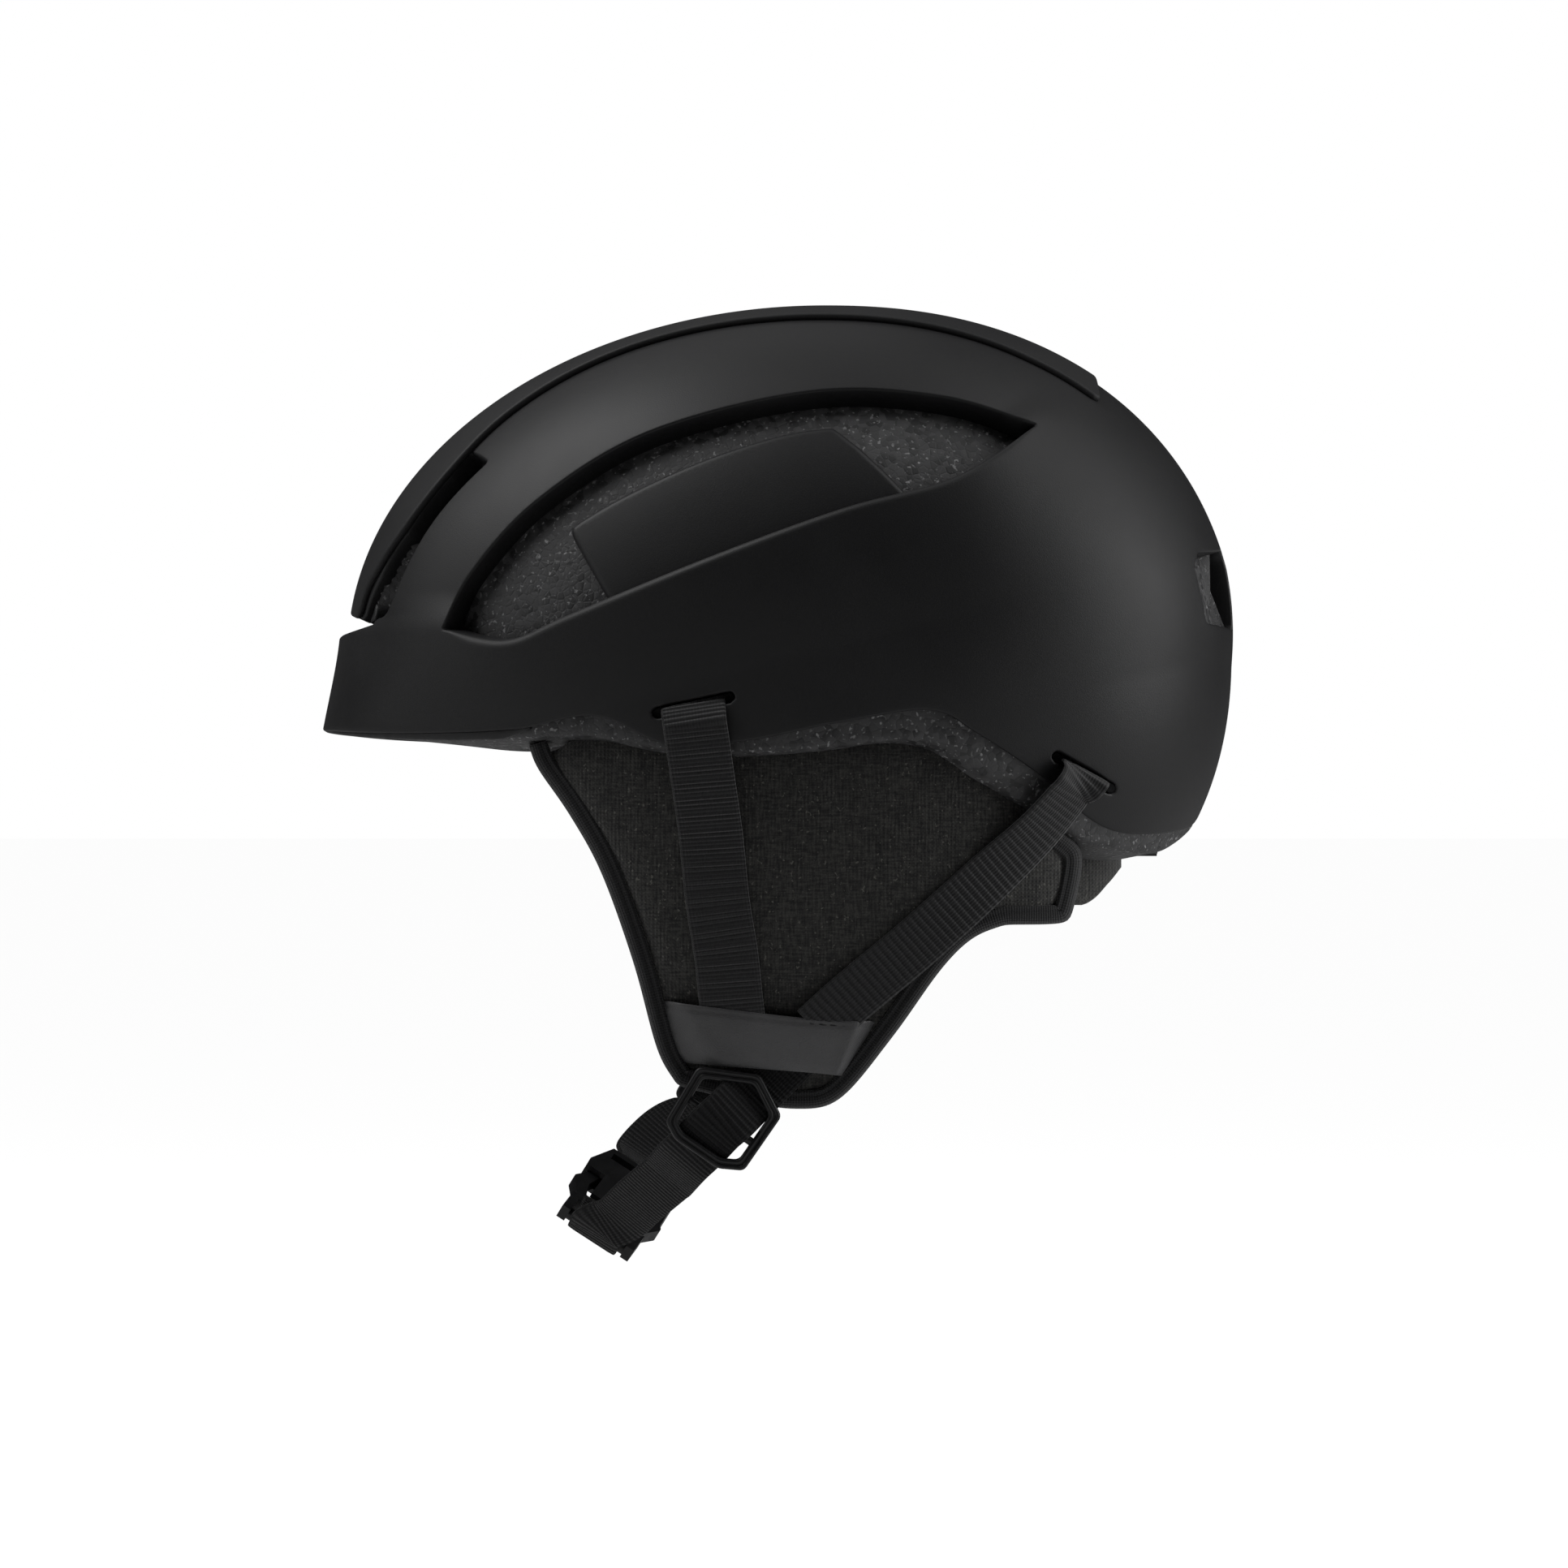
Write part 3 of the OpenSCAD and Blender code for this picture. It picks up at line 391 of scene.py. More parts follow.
# ---------------------------------------------------------------- node materials
class Shader:
    """Small helper that adds and links the nodes of one material."""

    def __init__(self, name, slot_colour, roughness, **inputs):
        self.material = bpy.data.materials.new(name)
        self.material.use_nodes = True
        self.nodes = self.material.node_tree.nodes
        self.links = self.material.node_tree.links
        self.out = self.nodes["Principled BSDF"]
        self.out.inputs["Base Color"].default_value = (*slot_colour, 1)
        self.out.inputs["Roughness"].default_value = roughness
        for key, value in inputs.items():
            self.out.inputs[key.replace("_", " ")].default_value = value

    def node(self, kind, operation=None, **inputs):
        made = self.nodes.new("ShaderNode" + kind)
        if operation:
            made.operation = operation
        for key, value in inputs.items():
            key = int(key[1:]) if key[0] == "i" and key[1:].isdigit() else key.replace("_", " ")
            if isinstance(value, bpy.types.NodeSocket):
                self.links.new(value, made.inputs[key])
            else:
                made.inputs[key].default_value = value
        return made

    def math(self, operation, a, b=0.0):
        return self.node("Math", operation, i0=a, i1=b).outputs[0]

    def place(self, uv=False):
        return self.node("TexCoord").outputs["UV" if uv else "Object"]

    def noise(self, place, scale, detail=4.0, roughness=0.5):
        return self.node("TexNoise", Vector=place, Scale=scale, Detail=detail, Roughness=roughness).outputs[0]

    def cells(self, place, scale, feature="F1"):
        made = self.node("TexVoronoi", Vector=place, Scale=scale)
        made.feature = feature
        return made

    def ramp(self, value, low, high, to_low=0.0, to_high=1.0):
        made = self.node("MapRange", Value=value)
        for index, number in zip((1, 2, 3, 4), (low, high, to_low, to_high)):
            made.inputs[index].default_value = number
        made.interpolation_type = "SMOOTHSTEP"
        return made.outputs[0]

    def blend(self, factor, dark, light):
        made = self.node("Mix")
        made.data_type = "RGBA"
        self.links.new(factor, made.inputs["Factor"])
        if isinstance(dark, bpy.types.NodeSocket):
            self.links.new(dark, made.inputs["A"])
        else:
            made.inputs["A"].default_value = (*dark, 1)
        made.inputs["B"].default_value = (*light, 1)
        return made.outputs["Result"]

    def waves(self, place, axis, pitch):
        """0 to 1 wave along one axis of the coordinate, one wave each pitch."""
        split = self.node("SeparateXYZ", Vector=place).outputs[axis]
        phase = self.math("MULTIPLY", split, 2 * math.pi / pitch)
        return self.math("MULTIPLY_ADD", self.math("SINE", phase), 0.5)

    def colour(self, socket):
        self.links.new(socket, self.out.inputs["Base Color"])

    def rough(self, socket):
        self.links.new(socket, self.out.inputs["Roughness"])

    def bump(self, height, distance, strength=1.0):
        made = self.node("Bump", Height=height, Distance=distance, Strength=strength)
        previous = self.out.inputs["Normal"].links
        if previous:
            self.links.new(previous[0].from_socket, made.inputs["Normal"])
        self.links.new(made.outputs[0], self.out.inputs["Normal"])


def shell_plastic(name, dark, light, roughness):
    """Matte moulded plastic with a fine spark texture and faint handling marks."""
    s = Shader(name, dark, roughness, IOR=1.46)
    place = s.place()
    cloud = s.noise(place, 14, 5)
    grain = s.noise(place, 2600, 2)
    s.colour(s.blend(s.ramp(cloud, 0.35, 0.7), dark, light))
    s.rough(s.ramp(cloud, 0.3, 0.75, roughness - 0.05, roughness + 0.06))
    s.bump(grain, 0.00006, 0.6)
    return s.material


def bead_foam(name, dark, light):
    """Moulded bead foam: packed cells with a sheen that varies from bead to bead."""
    s = Shader(name, dark, 0.62)
    place = s.place()
    beads = s.cells(place, 480)
    edges = s.cells(place, 480, "DISTANCE_TO_EDGE")
    shade = s.node("SeparateColor", Color=beads.outputs["Color"]).outputs[0]
    specks = s.ramp(s.noise(place, 780, 1), 0.6, 0.72)
    clusters = s.ramp(s.noise(place, 200, 2), 0.35, 0.65, 0.35, 1.0)
    bright = s.math("MULTIPLY", specks, clusters)
    both = s.math("MAXIMUM", s.math("MULTIPLY", shade, 0.22), bright)
    s.colour(s.blend(both, dark, light))
    s.rough(s.ramp(shade, 0.1, 0.9, 0.5, 0.8))
    s.bump(s.ramp(edges.outputs["Distance"], 0.0, 0.2), 0.0001, 0.6)
    return s.material


def melange_fabric(name, dark, light, fleck):
    """Plain weave in two yarn shades with scattered light flecks."""
    s = Shader(name, dark, 0.92)
    s.out.inputs["Sheen Weight"].default_value = 0.35
    s.out.inputs["Sheen Roughness"].default_value = 0.5
    place = s.place()
    wobble = s.noise(place, 90, 2)
    warp = s.waves(place, 1, 0.0011)
    weft = s.waves(place, 2, 0.0011)
    weave = s.math("MAXIMUM", warp, weft)
    stretched = s.node("Mapping", Vector=place, Scale=(300, 1500, 260)).outputs[0]
    yarn = s.noise(stretched, 1.0, 3, 0.7)
    crossed = s.node("Mapping", Vector=place, Scale=(300, 260, 1500)).outputs[0]
    yarn2 = s.noise(crossed, 1.0, 3, 0.7)
    mixed = s.math("MULTIPLY_ADD", s.math("ADD", yarn, yarn2), 0.5)
    tone = s.ramp(s.math("ADD", yarn, yarn2), 0.75, 1.3)
    specks = s.ramp(s.noise(place, 900, 1), 0.66, 0.74)
    s.colour(s.blend(specks, s.blend(tone, dark, light), fleck))
    s.bump(s.math("ADD", weave, s.math("MULTIPLY", mixed, 0.5)), 0.00022, 0.7)
    s.bump(wobble, 0.0006, 0.25)
    return s.material


def rib_webbing(name, dark, light, pitch, sheen=0.3):
    """Woven strap: raised ribs across it, fine twill along it; its colour paints a highlight on the rib
    crests and shade in the valleys between them. UV is (across, along) in metres.
    """
    s = Shader(name, dark, 0.8)
    s.out.inputs["Sheen Weight"].default_value = sheen
    s.out.inputs["Specular IOR Level"].default_value = sheen + 0.2
    place = s.place(uv=True)
    ribs = s.waves(place, 1, pitch)
    cords = s.waves(place, 0, 0.0009)
    fibre = s.noise(place, 2400, 3, 0.7)
    # Colour follows the rib wave times the fibre's own tone: painted highlight on the crests, painted shade
    # between the ribs.
    s.colour(s.blend(s.math("MULTIPLY", ribs, s.ramp(fibre, 0.2, 0.8)), dark, light))
    s.rough(s.ramp(fibre, 0.3, 0.7, 0.65, 0.9))
    s.bump(s.math("ADD", ribs, s.math("MULTIPLY", cords, 0.35)), 0.0004, 0.9)
    s.bump(fibre, 0.0001, 0.5)
    return s.material


def knit_binding(name, dark, light):
    """Knitted edge tape: fine ribs along it and a stitch line; its colour paints a highlight on the rib
    crests and shade between them. UV is (across, along) in metres.
    """
    s = Shader(name, dark, 0.88)
    s.out.inputs["Sheen Weight"].default_value = 0.25
    place = s.place(uv=True)
    ribs = s.waves(place, 1, 0.0008)
    wales = s.waves(place, 0, 0.0009)
    fibre = s.noise(place, 1800, 3, 0.7)
    # Colour follows the rib wave times the fibre's own tone: painted highlight on the crests, painted shade
    # between the ribs.
    s.colour(s.blend(s.math("MULTIPLY", ribs, fibre), dark, light))
    s.bump(s.math("MULTIPLY", s.math("ADD", ribs, wales), 0.5), 0.00025, 0.9)
    s.bump(fibre, 0.0001, 0.5)
    return s.material


def brushed_fabric(name, dark, light):
    """Soft brushed lining with short pile."""
    s = Shader(name, dark, 0.95)
    s.out.inputs["Sheen Weight"].default_value = 0.5
    place = s.place()
    pile = s.noise(place, 1400, 3, 0.7)
    cloud = s.noise(place, 60, 3)
    s.colour(s.blend(s.ramp(s.math("ADD", pile, cloud), 0.7, 1.3), dark, light))
    s.bump(pile, 0.0003, 0.7)
    return s.material


def smooth_leather(name, dark, light):
    """Coated leather: a fine pebble and a soft sheen."""
    s = Shader(name, dark, 0.42)
    place = s.place()
    pebble = s.cells(place, 1300, "DISTANCE_TO_EDGE")
    cloud = s.noise(place, 45, 3)
    s.colour(s.blend(s.ramp(cloud, 0.3, 0.7), dark, light))
    s.rough(s.ramp(cloud, 0.3, 0.7, 0.34, 0.5))
    s.bump(s.ramp(pebble.outputs["Distance"], 0.0, 0.3), 0.00012, 0.5)
    return s.material


def moulded_black(name, dark, roughness):
    """Satin injection-moulded nylon with a light scuff."""
    s = Shader(name, dark, roughness)
    place = s.place()
    scuff = s.noise(place, 240, 4, 0.7)
    s.rough(s.ramp(scuff, 0.35, 0.7, roughness - 0.08, roughness + 0.1))
    s.colour(s.blend(s.ramp(scuff, 0.45, 0.8), dark, tuple(c * 1.5 for c in dark)))
    s.bump(s.noise(place, 3000, 2), 0.00004, 0.5)
    return s.material


def plain_metal(name, tint):
    """Turned, zinc-plated steel."""
    s = Shader(name, tint, 0.3, Metallic=1.0)
    place = s.place()
    s.rough(s.ramp(s.noise(place, 900, 3), 0.3, 0.7, 0.25, 0.42))
    return s.material


black_shell = shell_plastic("black_shell", (0.012, 0.012, 0.013), (0.017, 0.017, 0.018), 0.5)
black_ridge = shell_plastic("black_ridge", (0.013, 0.013, 0.014), (0.019, 0.019, 0.02), 0.58)
liner_foam = bead_foam("liner_foam", (0.03, 0.03, 0.031), (0.34, 0.34, 0.345))
trim_plastic = moulded_black("trim_plastic", (0.012, 0.012, 0.013), 0.5)
ear_fabric = melange_fabric("ear_fabric", (0.011, 0.011, 0.011), (0.062, 0.061, 0.056), (0.12, 0.118, 0.105))
edge_knit = knit_binding("edge_knit", (0.009, 0.009, 0.01), (0.03, 0.03, 0.032))
lining = brushed_fabric("lining", (0.012, 0.012, 0.013), (0.03, 0.03, 0.031))
cover_leather = smooth_leather("cover_leather", (0.09, 0.09, 0.092), (0.125, 0.125, 0.128))
front_webbing = rib_webbing("front_webbing", (0.011, 0.011, 0.012), (0.042, 0.042, 0.044), 0.0013)
chin_webbing = rib_webbing("chin_webbing", (0.006, 0.006, 0.0065), (0.024, 0.024, 0.0255), 0.0017, sheen=0.1)
rear_webbing = rib_webbing("rear_webbing", (0.011, 0.011, 0.012), (0.048, 0.048, 0.05), 0.0022)
hardware = moulded_black("hardware", (0.011, 0.011, 0.012), 0.38)
acetal = moulded_black("acetal", (0.62, 0.59, 0.5), 0.4)
zinc = plain_metal("zinc", (0.6, 0.6, 0.62))


# ---------------------------------------------------------------- shell
LIP_R = 0.8
FOOT_LIP = 1.6
WALL_LIP = 1.2
VENT_DEPTH = 7.2
SHELL_COLUMNS = 420
SHELL_ROWS = 150
REAR_VENT_ROUND = 3.0


def shrink(outline, by):
    """Outline moved towards its middle by about that much."""
    p = np.array(outline, float)
    middle = p.mean(0)
    return middle + (p - middle) * (1 - by / np.linalg.norm(p - middle, axis=1, keepdims=True))


vent_foot_line = spline(VENT_FOOT)[::-1]
rear_vent_core = shrink(REAR_VENT, REAR_VENT_ROUND * 1.4)


def in_vent(p):
    """Signed distance into the side vents, positive inside."""
    return np.where(np.abs(p[..., 0]) > 40, inside(p[..., 1:], vent_outline), -99)


def in_side_slots(p):
    """Signed distance into the slots beside the front of the ridge."""
    plan = np.stack([np.abs(p[..., 0]), p[..., 1]], -1)
    side = np.minimum(inside(plan, slot_plan), p[..., 2] - BROW_SLOT_MID)
    return np.where(p[..., 1] < -70, side, -99)


def in_brow_slot(p):
    """Signed distance into the slot between the ridge and the brow."""
    rise = (BROW_SLOT_Z[1] - BROW_SLOT_Z[0]) / 2
    arc_r = (BROW_SLOT_HALF_W ** 2 + rise ** 2) / (2 * rise)
    reach = np.hypot(p[..., 0], np.abs(p[..., 2] - BROW_SLOT_Z[0] - rise) + arc_r - rise)
    return np.where(p[..., 1] < -80, arc_r - reach, -99)


def in_rear_vents(p):
    at = np.stack([np.abs(p[..., 0]), p[..., 2]], -1)
    return np.where(p[..., 1] > 90, inside(at, rear_vent_core) + REAR_VENT_ROUND, -99)


def in_strap_slots(p):
    at = p[..., 1:]
    slots = [capsule(at, a, b, STRAP_SLOT_H / 2) for a, b in (FRONT_SLOT, REAR_SLOT)]
    return np.where(np.abs(p[..., 0]) > 55, np.maximum(*slots), -99)


def recess(p):
    """Signed distance into every opening that shows the liner."""
    return np.maximum.reduce([in_vent(p), in_brow_slot(p), in_side_slots(p), in_rear_vents(p)])


def lip_radius(p):
    """Radius of the rolled edge: larger along the lower side of the side vents."""
    to_foot = -inside(p[..., 1:], vent_outline)
    flank = np.interp(p[..., 1], vent_foot_line[:, 0], vent_foot_line[:, 1])
    low = smooth((flank + 6 - p[..., 2]) / 6) * smooth((p[..., 1] + 100) / 8) * smooth((76 - p[..., 1]) / 10)
    return LIP_R + FOOT_LIP * low * smooth((8 - to_foot) / 4) * (np.abs(p[..., 0]) > 40)


def shell_keep(p):
    return -np.maximum(recess(p), in_strap_slots(p)) - lip_radius(p)


CREASE = [(-62, 1), (-30, 9.8), (5, 19.2), (40, 28.3), (75, 36.6), (110, 44.7), (126, 48)]
CREASE_LEAN = 0.06
FOOT_SWELL = 2.8
crease_line = spline(CREASE)


def flank_inset(phi, psi):
    """Flank's shape round the style crease: it leans out up to the vent's foot, and below the crease
    it kicks out towards the front and falls in towards the rear."""
    p = dome(phi, psi)
    y, z = p[..., 1], p[..., 2]
    line = np.interp(y, crease_line[:, 0], crease_line[:, 1])
    foot = np.interp(y, vent_foot_line[:, 0], vent_foot_line[:, 1])
    lean = CREASE_LEAN * smooth((y + 62) / 30) * (2 * smooth((y - 10) / 80) - 1)
    below = lean * np.clip(line - z, 0, 30)
    above = np.clip((z - line) / (foot - line), 0, 1) * smooth((foot + 12 - z) / 12)
    return below - FOOT_SWELL * above * smooth((y + 128) / 40) * smooth((98 - y) / 45)


def shell_surface(phi, v):
    """Shell's outer face: v from 0 at the rim to 1 at the crown."""
    start = low_angle(height_at(SHELL_RIM, np.degrees(np.arcsin(np.sin(np.radians(phi))))))
    psi = mix(start, 89.3, v)
    return dome(phi, psi, flank_inset(phi, psi))


def shell_edge(p):
    """Edge profile: deep walls in the vents, a plain rounded edge at the rim and the strap slots."""
    deep = recess(p) > -5
    depth = np.where(deep, VENT_DEPTH, SHELL_T - 0.3)
    lip = lip_radius(p)
    rows = [(lip * math.sin(a), -lip * (1 - math.cos(a))) for a in np.radians((18, 36, 54, 72, 90))]
    rows.append((lip, -depth))
    rows.append((np.where(deep, lip - WALL_LIP, lip - 0.3), -depth - 0.3))
    return rows


def build_shell():
    us = np.linspace(0, 360, SHELL_COLUMNS, endpoint=False)
    vs = np.linspace(0, 1, SHELL_ROWS)
    verts, faces, _ = skin(shell_surface, us, vs, shell_keep, SHELL_T, shell_edge, wrap=True)
    shell = make_object("shell_skin", verts, faces, black_shell, "helmet")
    finish_piece(shell, "shell_black", "outer_shell")


# ---------------------------------------------------------------- centre ridge
RIDGE_CORNER = 4.0
RIDGE_LIP = 1.0
RIDGE_REACH = 51.0
RIDGE_WALL = 2.3


def ridge_surface(x, angle, height=RIDGE_H):
    """Ridge's outer face: x across it, angle from the front (0) over the top to the rear (180)."""
    c, s = np.cos(np.radians(angle)), np.sin(np.radians(angle))
    back = c < 0
    share = 1 - (np.abs(x) / (SHELL_HALF_W + height)) ** SIDE_POW
    along = share * c * c
    rise = SHELL_RISE + height + np.where(back, REAR_LIFT * along * 0.6, 0)
    length = np.where(back, SHELL_REAR, SHELL_FRONT) + height
    y = DOME_Y - np.sign(c) * length * along ** np.where(back, 1 / REAR_POW, 1 / FRONT_POW)
    z = DOME_Z + rise * np.sqrt(share) * s
    return np.stack([x * np.ones_like(y), y, z], -1)


def ridge_keep(p):
    """Inside the ridge's plan, with round corners, above the brow slot."""
    plan = inside(p[..., :2], ridge_plan)
    back = RIDGE_EDGE[-1][1] - p[..., 1]
    corner = RIDGE_CORNER - np.hypot(np.maximum(0, RIDGE_CORNER - plan), np.maximum(0, RIDGE_CORNER - back))
    foot = np.where(p[..., 1] < 0, np.minimum(-in_brow_slot(p), p[..., 2] - BROW_SLOT_MID), 99)
    low = RIDGE_CORNER - np.hypot(np.maximum(0, RIDGE_CORNER - plan), np.maximum(0, RIDGE_CORNER - foot))
    return np.minimum(corner, low) - RIDGE_LIP


def build_ridge():
    us = np.linspace(-RIDGE_REACH, RIDGE_REACH, 130)
    vs = np.linspace(2, 160, 260)
    verts, faces, _ = skin(ridge_surface, us, vs, ridge_keep, RIDGE_WALL, rounded_edge(RIDGE_LIP, RIDGE_WALL))
    ridge = make_object("ridge_skin", verts, faces, black_ridge, "helmet")
    finish_piece(ridge, "ridge_black", "top_ridge")


# ---------------------------------------------------------------- more mesh helpers
def unit(v):
    return v / np.maximum(1e-9, np.linalg.norm(v, axis=-1, keepdims=True))


def loft(rings, closed=False):
    """Vertices and faces through rings of equal size; closed joins the last ring to the first."""
    rings = np.asarray(rings, float)
    n, k = rings.shape[:2]
    index = np.arange(n * k).reshape(n, k)
    faces = []
    for a, b in zip(index, np.roll(index, -1, 0) if closed else index[1:]):
        a2, b2 = np.roll(a, -1), np.roll(b, -1)
        faces += [[a[j], a2[j], b2[j], b[j]] for j in range(k)]
    if not closed:
        faces += [list(index[0][::-1]), list(index[-1])]
    return rings.reshape(-1, 3), faces


def run_length(points):
    """Distance of each point along a row of points, from its start."""
    return np.cumsum(np.linalg.norm(np.diff(points, axis=0, prepend=points[:1]), axis=1))


def loft_uv(rings):
    """(across, along) of each ring point, in metres."""
    rings = np.asarray(rings, float)
    around, along = run_length(rings[len(rings) // 2]), run_length(rings.mean(1))
    return np.stack(np.meshgrid(around, along), -1).reshape(-1, 2) * MM


def pillow(front, back):
    """Closed solid between two grids of points that meet along their edges."""
    front, back = np.asarray(front), np.asarray(back)
    n, m = front.shape[:2]
    index = np.arange(n * m).reshape(n, m)
    other = index + n * m
    faces = []
    for j in range(n - 1):
        for i in range(m - 1):
            faces.append([index[j, i], index[j, i + 1], index[j + 1, i + 1], index[j + 1, i]])
            faces.append([other[j, i], other[j + 1, i], other[j + 1, i + 1], other[j, i + 1]])
    rim = [*index[0], *index[1:, -1], *index[-1, -2::-1], *index[-2:0:-1, 0]]
    for a, b in zip(rim, rim[1:] + rim[:1]):
        faces.append([b, a, a + n * m, b + n * m])
    return np.concatenate([front.reshape(-1, 3), back.reshape(-1, 3)]), faces


def resample(points, spacing):
    """Evenly spaced rows of a smooth curve through the rows of points; its first 3 columns are its place."""
    curve = spline(points, 24)
    run = run_length(curve[:, :3])
    at = np.linspace(0, run[-1], int(run[-1] / spacing) + 1)
    return np.stack([np.interp(at, run, column) for column in curve.T], -1)


def finish_piece(obj, slot, *nodes):
    if nodes:
        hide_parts(*nodes)
    return obj


def both_sides(name, verts, faces, material, slot, node, uv=None, body="helmet"):
    """The same piece on the wearer's left and right."""
    for side, points in (("left", verts), ("right", np.asarray(verts) * (-1, 1, 1))):
        obj = make_object(f"{name}_{side}", points, faces, material, body, uv)
        finish_piece(obj, slot, f"{node}_{side}")


# ---------------------------------------------------------------- liner
LINER_INSET = SHELL_T + FIT_GAP
VENT_FLOOR = 7.0
POCKET_FLOOR = 15.0
ARCH_HALF_W = 22.0
# The rounded lip hangs RIM_ROUND below the arch and clears the dial at its highest
ARCH_TOP = -1.0
RIM_ROUND = 2.5


def liner_rim(phi, inner):
    """Height of the liner's lower edge, raised into an arch over the dial."""
    folded = np.degrees(np.arcsin(np.clip(np.sin(np.radians(phi)), -1, 1)))
    z = height_at(LINER_RIM, folded)
    width, power = (CAVITY_HALF_W, CAVITY_POW) if inner else (SHELL_HALF_W, SIDE_POW)
    ax = width * np.abs(np.cos(np.radians(phi))) ** (2 / power)
    arch = smooth((ARCH_HALF_W + 1 - ax) / 2) * (np.sin(np.radians(phi)) > 0)
    return mix(z, ARCH_TOP, arch)


def liner_outside(phi, v):
    """Liner's outer face, sunk to the floor of every opening."""
    start = low_angle(liner_rim(phi, False), LINER_INSET)
    psi = mix(start, 89.5, v)
    p = dome(phi, psi, LINER_INSET)
    floor = mix(LINER_INSET, VENT_FLOOR, smooth((recess(p) + 2.6) / 1.4))
    floor = np.maximum(floor, mix(LINER_INSET, POCKET_FLOOR, smooth((in_strap_slots(p) + 1.2) / 1.2)))
    return dome(phi, psi, floor)


def build_liner():
    phi = np.linspace(0, 360, 480, endpoint=False)
    rings = [liner_outside(phi, v) for v in np.linspace(1, 0.012, 140)]
    outer, inner = rings[-1], cavity(phi, liner_rim(phi, True))
    out, up = unit((outer - inner) * (1, 1, 0)), np.array([0, 0, 1.0])
    for a in np.radians((20, 45, 70, 90)):
        rings.append(outer - out * RIM_ROUND * (1 - math.cos(a)) - up * RIM_ROUND * math.sin(a))
    for a in np.radians((90, 60, 30)):
        rings.append(inner + out * RIM_ROUND * (1 - math.cos(a)) - up * RIM_ROUND * math.sin(a))
    low, top = liner_rim(phi, True), CAVITY_RISE * 0.999
    rings += [cavity(phi, mix(low, top, math.sin(math.pi / 2 * t))) for t in np.linspace(0, 1, 60)]
    verts, faces = loft(rings)
    liner = make_object("liner_body", verts, faces, liner_foam, "helmet")
    finish_piece(liner, "liner_foam", "foam_liner")


# ---------------------------------------------------------------- vent bridges and brow trim
BRIDGE_INSET = 2.4
BRIDGE_WALL = 3.6
# (out, up): a wide soft bevel, then the wall
BRIDGE_EDGE = [(0.7, -0.12), (1.3, -0.45), (1.8, -0.95), (2.2, -1.6), (2.4, -2.3), (2.4, -BRIDGE_WALL)]


def bridge_surface(phi, psi):
    return dome(phi, psi, BRIDGE_INSET)


def bridge_keep(p):
    at = p[..., 1:]
    return np.minimum(inside(at, vent_outline) + 3.0, inside(at, bridge_outline)) - BRIDGE_EDGE[-1][0]


def build_bridges():
    us, vs = np.linspace(-60, 40, 170), np.linspace(2, 62, 110)
    verts, faces, _ = skin(bridge_surface, us, vs, bridge_keep, BRIDGE_WALL, BRIDGE_EDGE)
    both_sides("bridge_panel", verts, faces, black_shell, "shell_black", "vent_bridge")


TRIM_SWEEP = 52.0
TRIM_GAP = 0.3


def build_brow_trim():
    """Soft lip tucked between the shell and the liner, under the brow, deeper towards its ends."""
    turn = np.linspace(-TRIM_SWEEP, TRIM_SWEEP, 120)
    fade = smooth((TRIM_SWEEP - np.abs(turn)) / 5)
    top = height_at(SHELL_RIM, -90 + np.abs(turn)) - TRIM_GAP
    depth = (0.8 + 0.045 * np.abs(turn)) * mix(0.3, 1, fade)
    profile = [(0.75, 0.0), (0.6, 0.35), (0.6, 0.75), (0.85, 0.95), (1.3, 1.0), (1.75, 0.95), (2.0, 0.7),
               (2.0, 0.0)]
    rings = [dome(turn - 90, low_angle(top - depth * down, inset), inset) for inset, down in profile]
    verts, faces = loft(np.stack(rings, 1))
    trim = make_object("brow_lip", verts, faces, trim_plastic, "helmet")
    finish_piece(trim, "trim_black", "brow_trim")


# ---------------------------------------------------------------- cheek: ear pads and webbing lie on it
CHEEK_W = 96.0
CHEEK_Y = 15.0
CHEEK_FRONT = 125.0
CHEEK_REAR = 105.0
CHEEK_POW = 2.6
CHEEK_TUCK = 20.0
PAD_BOTTOM = -114.0
EAR_PAD_T = 14.0
BINDING_W = 5.5
WEB_T = 1.6
WEB_W = 19.0
REAR_WEB_W = 15.0

PAD_FRONT = [(-75, -6.5), (-72.5, -13), (-63, -26.6), (-53.5, -43.8), (-44, -70.5), (-36.7, -97.3),
             (-30, -108)]
PAD_BASE = [(-12, -111.8), (4, -114), (17, -111)]
PAD_REAR = [(32.5, -92.5), (46.8, -72.4), (56.4, -63), (66, -59.3)]
PAD_TAB = [(83, -59), (86, -56), (89, -39), (84, -33)]
PAD_TOP = [(72, -25.5), (62, -20.5), (55, -14), (47, -8.5), (39, -6.3), (24, -7.5), (0, -10), (-16, -11),
           (-32, -9), (-52, -6.5)]


def cheek_x(y, z):
    """Half width of the surface that the ear pads lie on."""
    reach = np.where(y < CHEEK_Y, CHEEK_FRONT, CHEEK_REAR)
    share = np.minimum(0.95, (np.abs(y - CHEEK_Y) / reach) ** CHEEK_POW)
    return CHEEK_W * (1 - share) ** (1 / SIDE_POW) - CHEEK_TUCK * (np.maximum(0, -z) / -PAD_BOTTOM) ** 1.7


def web_x(y, z):
    """Webbing leaves the shell outside its wall and comes in to the ear pad further down."""
    return cheek_x(y, z) + 1 + mix(11, 18, smooth((y - 20) / 55)) * smooth((z + 45) / 52)


free_edge = np.concatenate([spline(PAD_FRONT, 8)[:-1], spline(PAD_BASE + PAD_REAR, 8), np.array(PAD_TAB)])
PAD_TUCK = 8.0
pad_outline = np.concatenate([free_edge, spline(PAD_TOP, 6) + (0, PAD_TUCK)])


def pad_surface(y, z):
    """Face of an ear pad before it is inflated, a little inside the cheek's surface."""
    return np.stack([cheek_x(y, z) - 0.6, y * np.ones_like(z), z * np.ones_like(y)], -1)


def pad_keep(p):
    return inside(p[..., 1:], pad_outline) - BINDING_W + 2.2


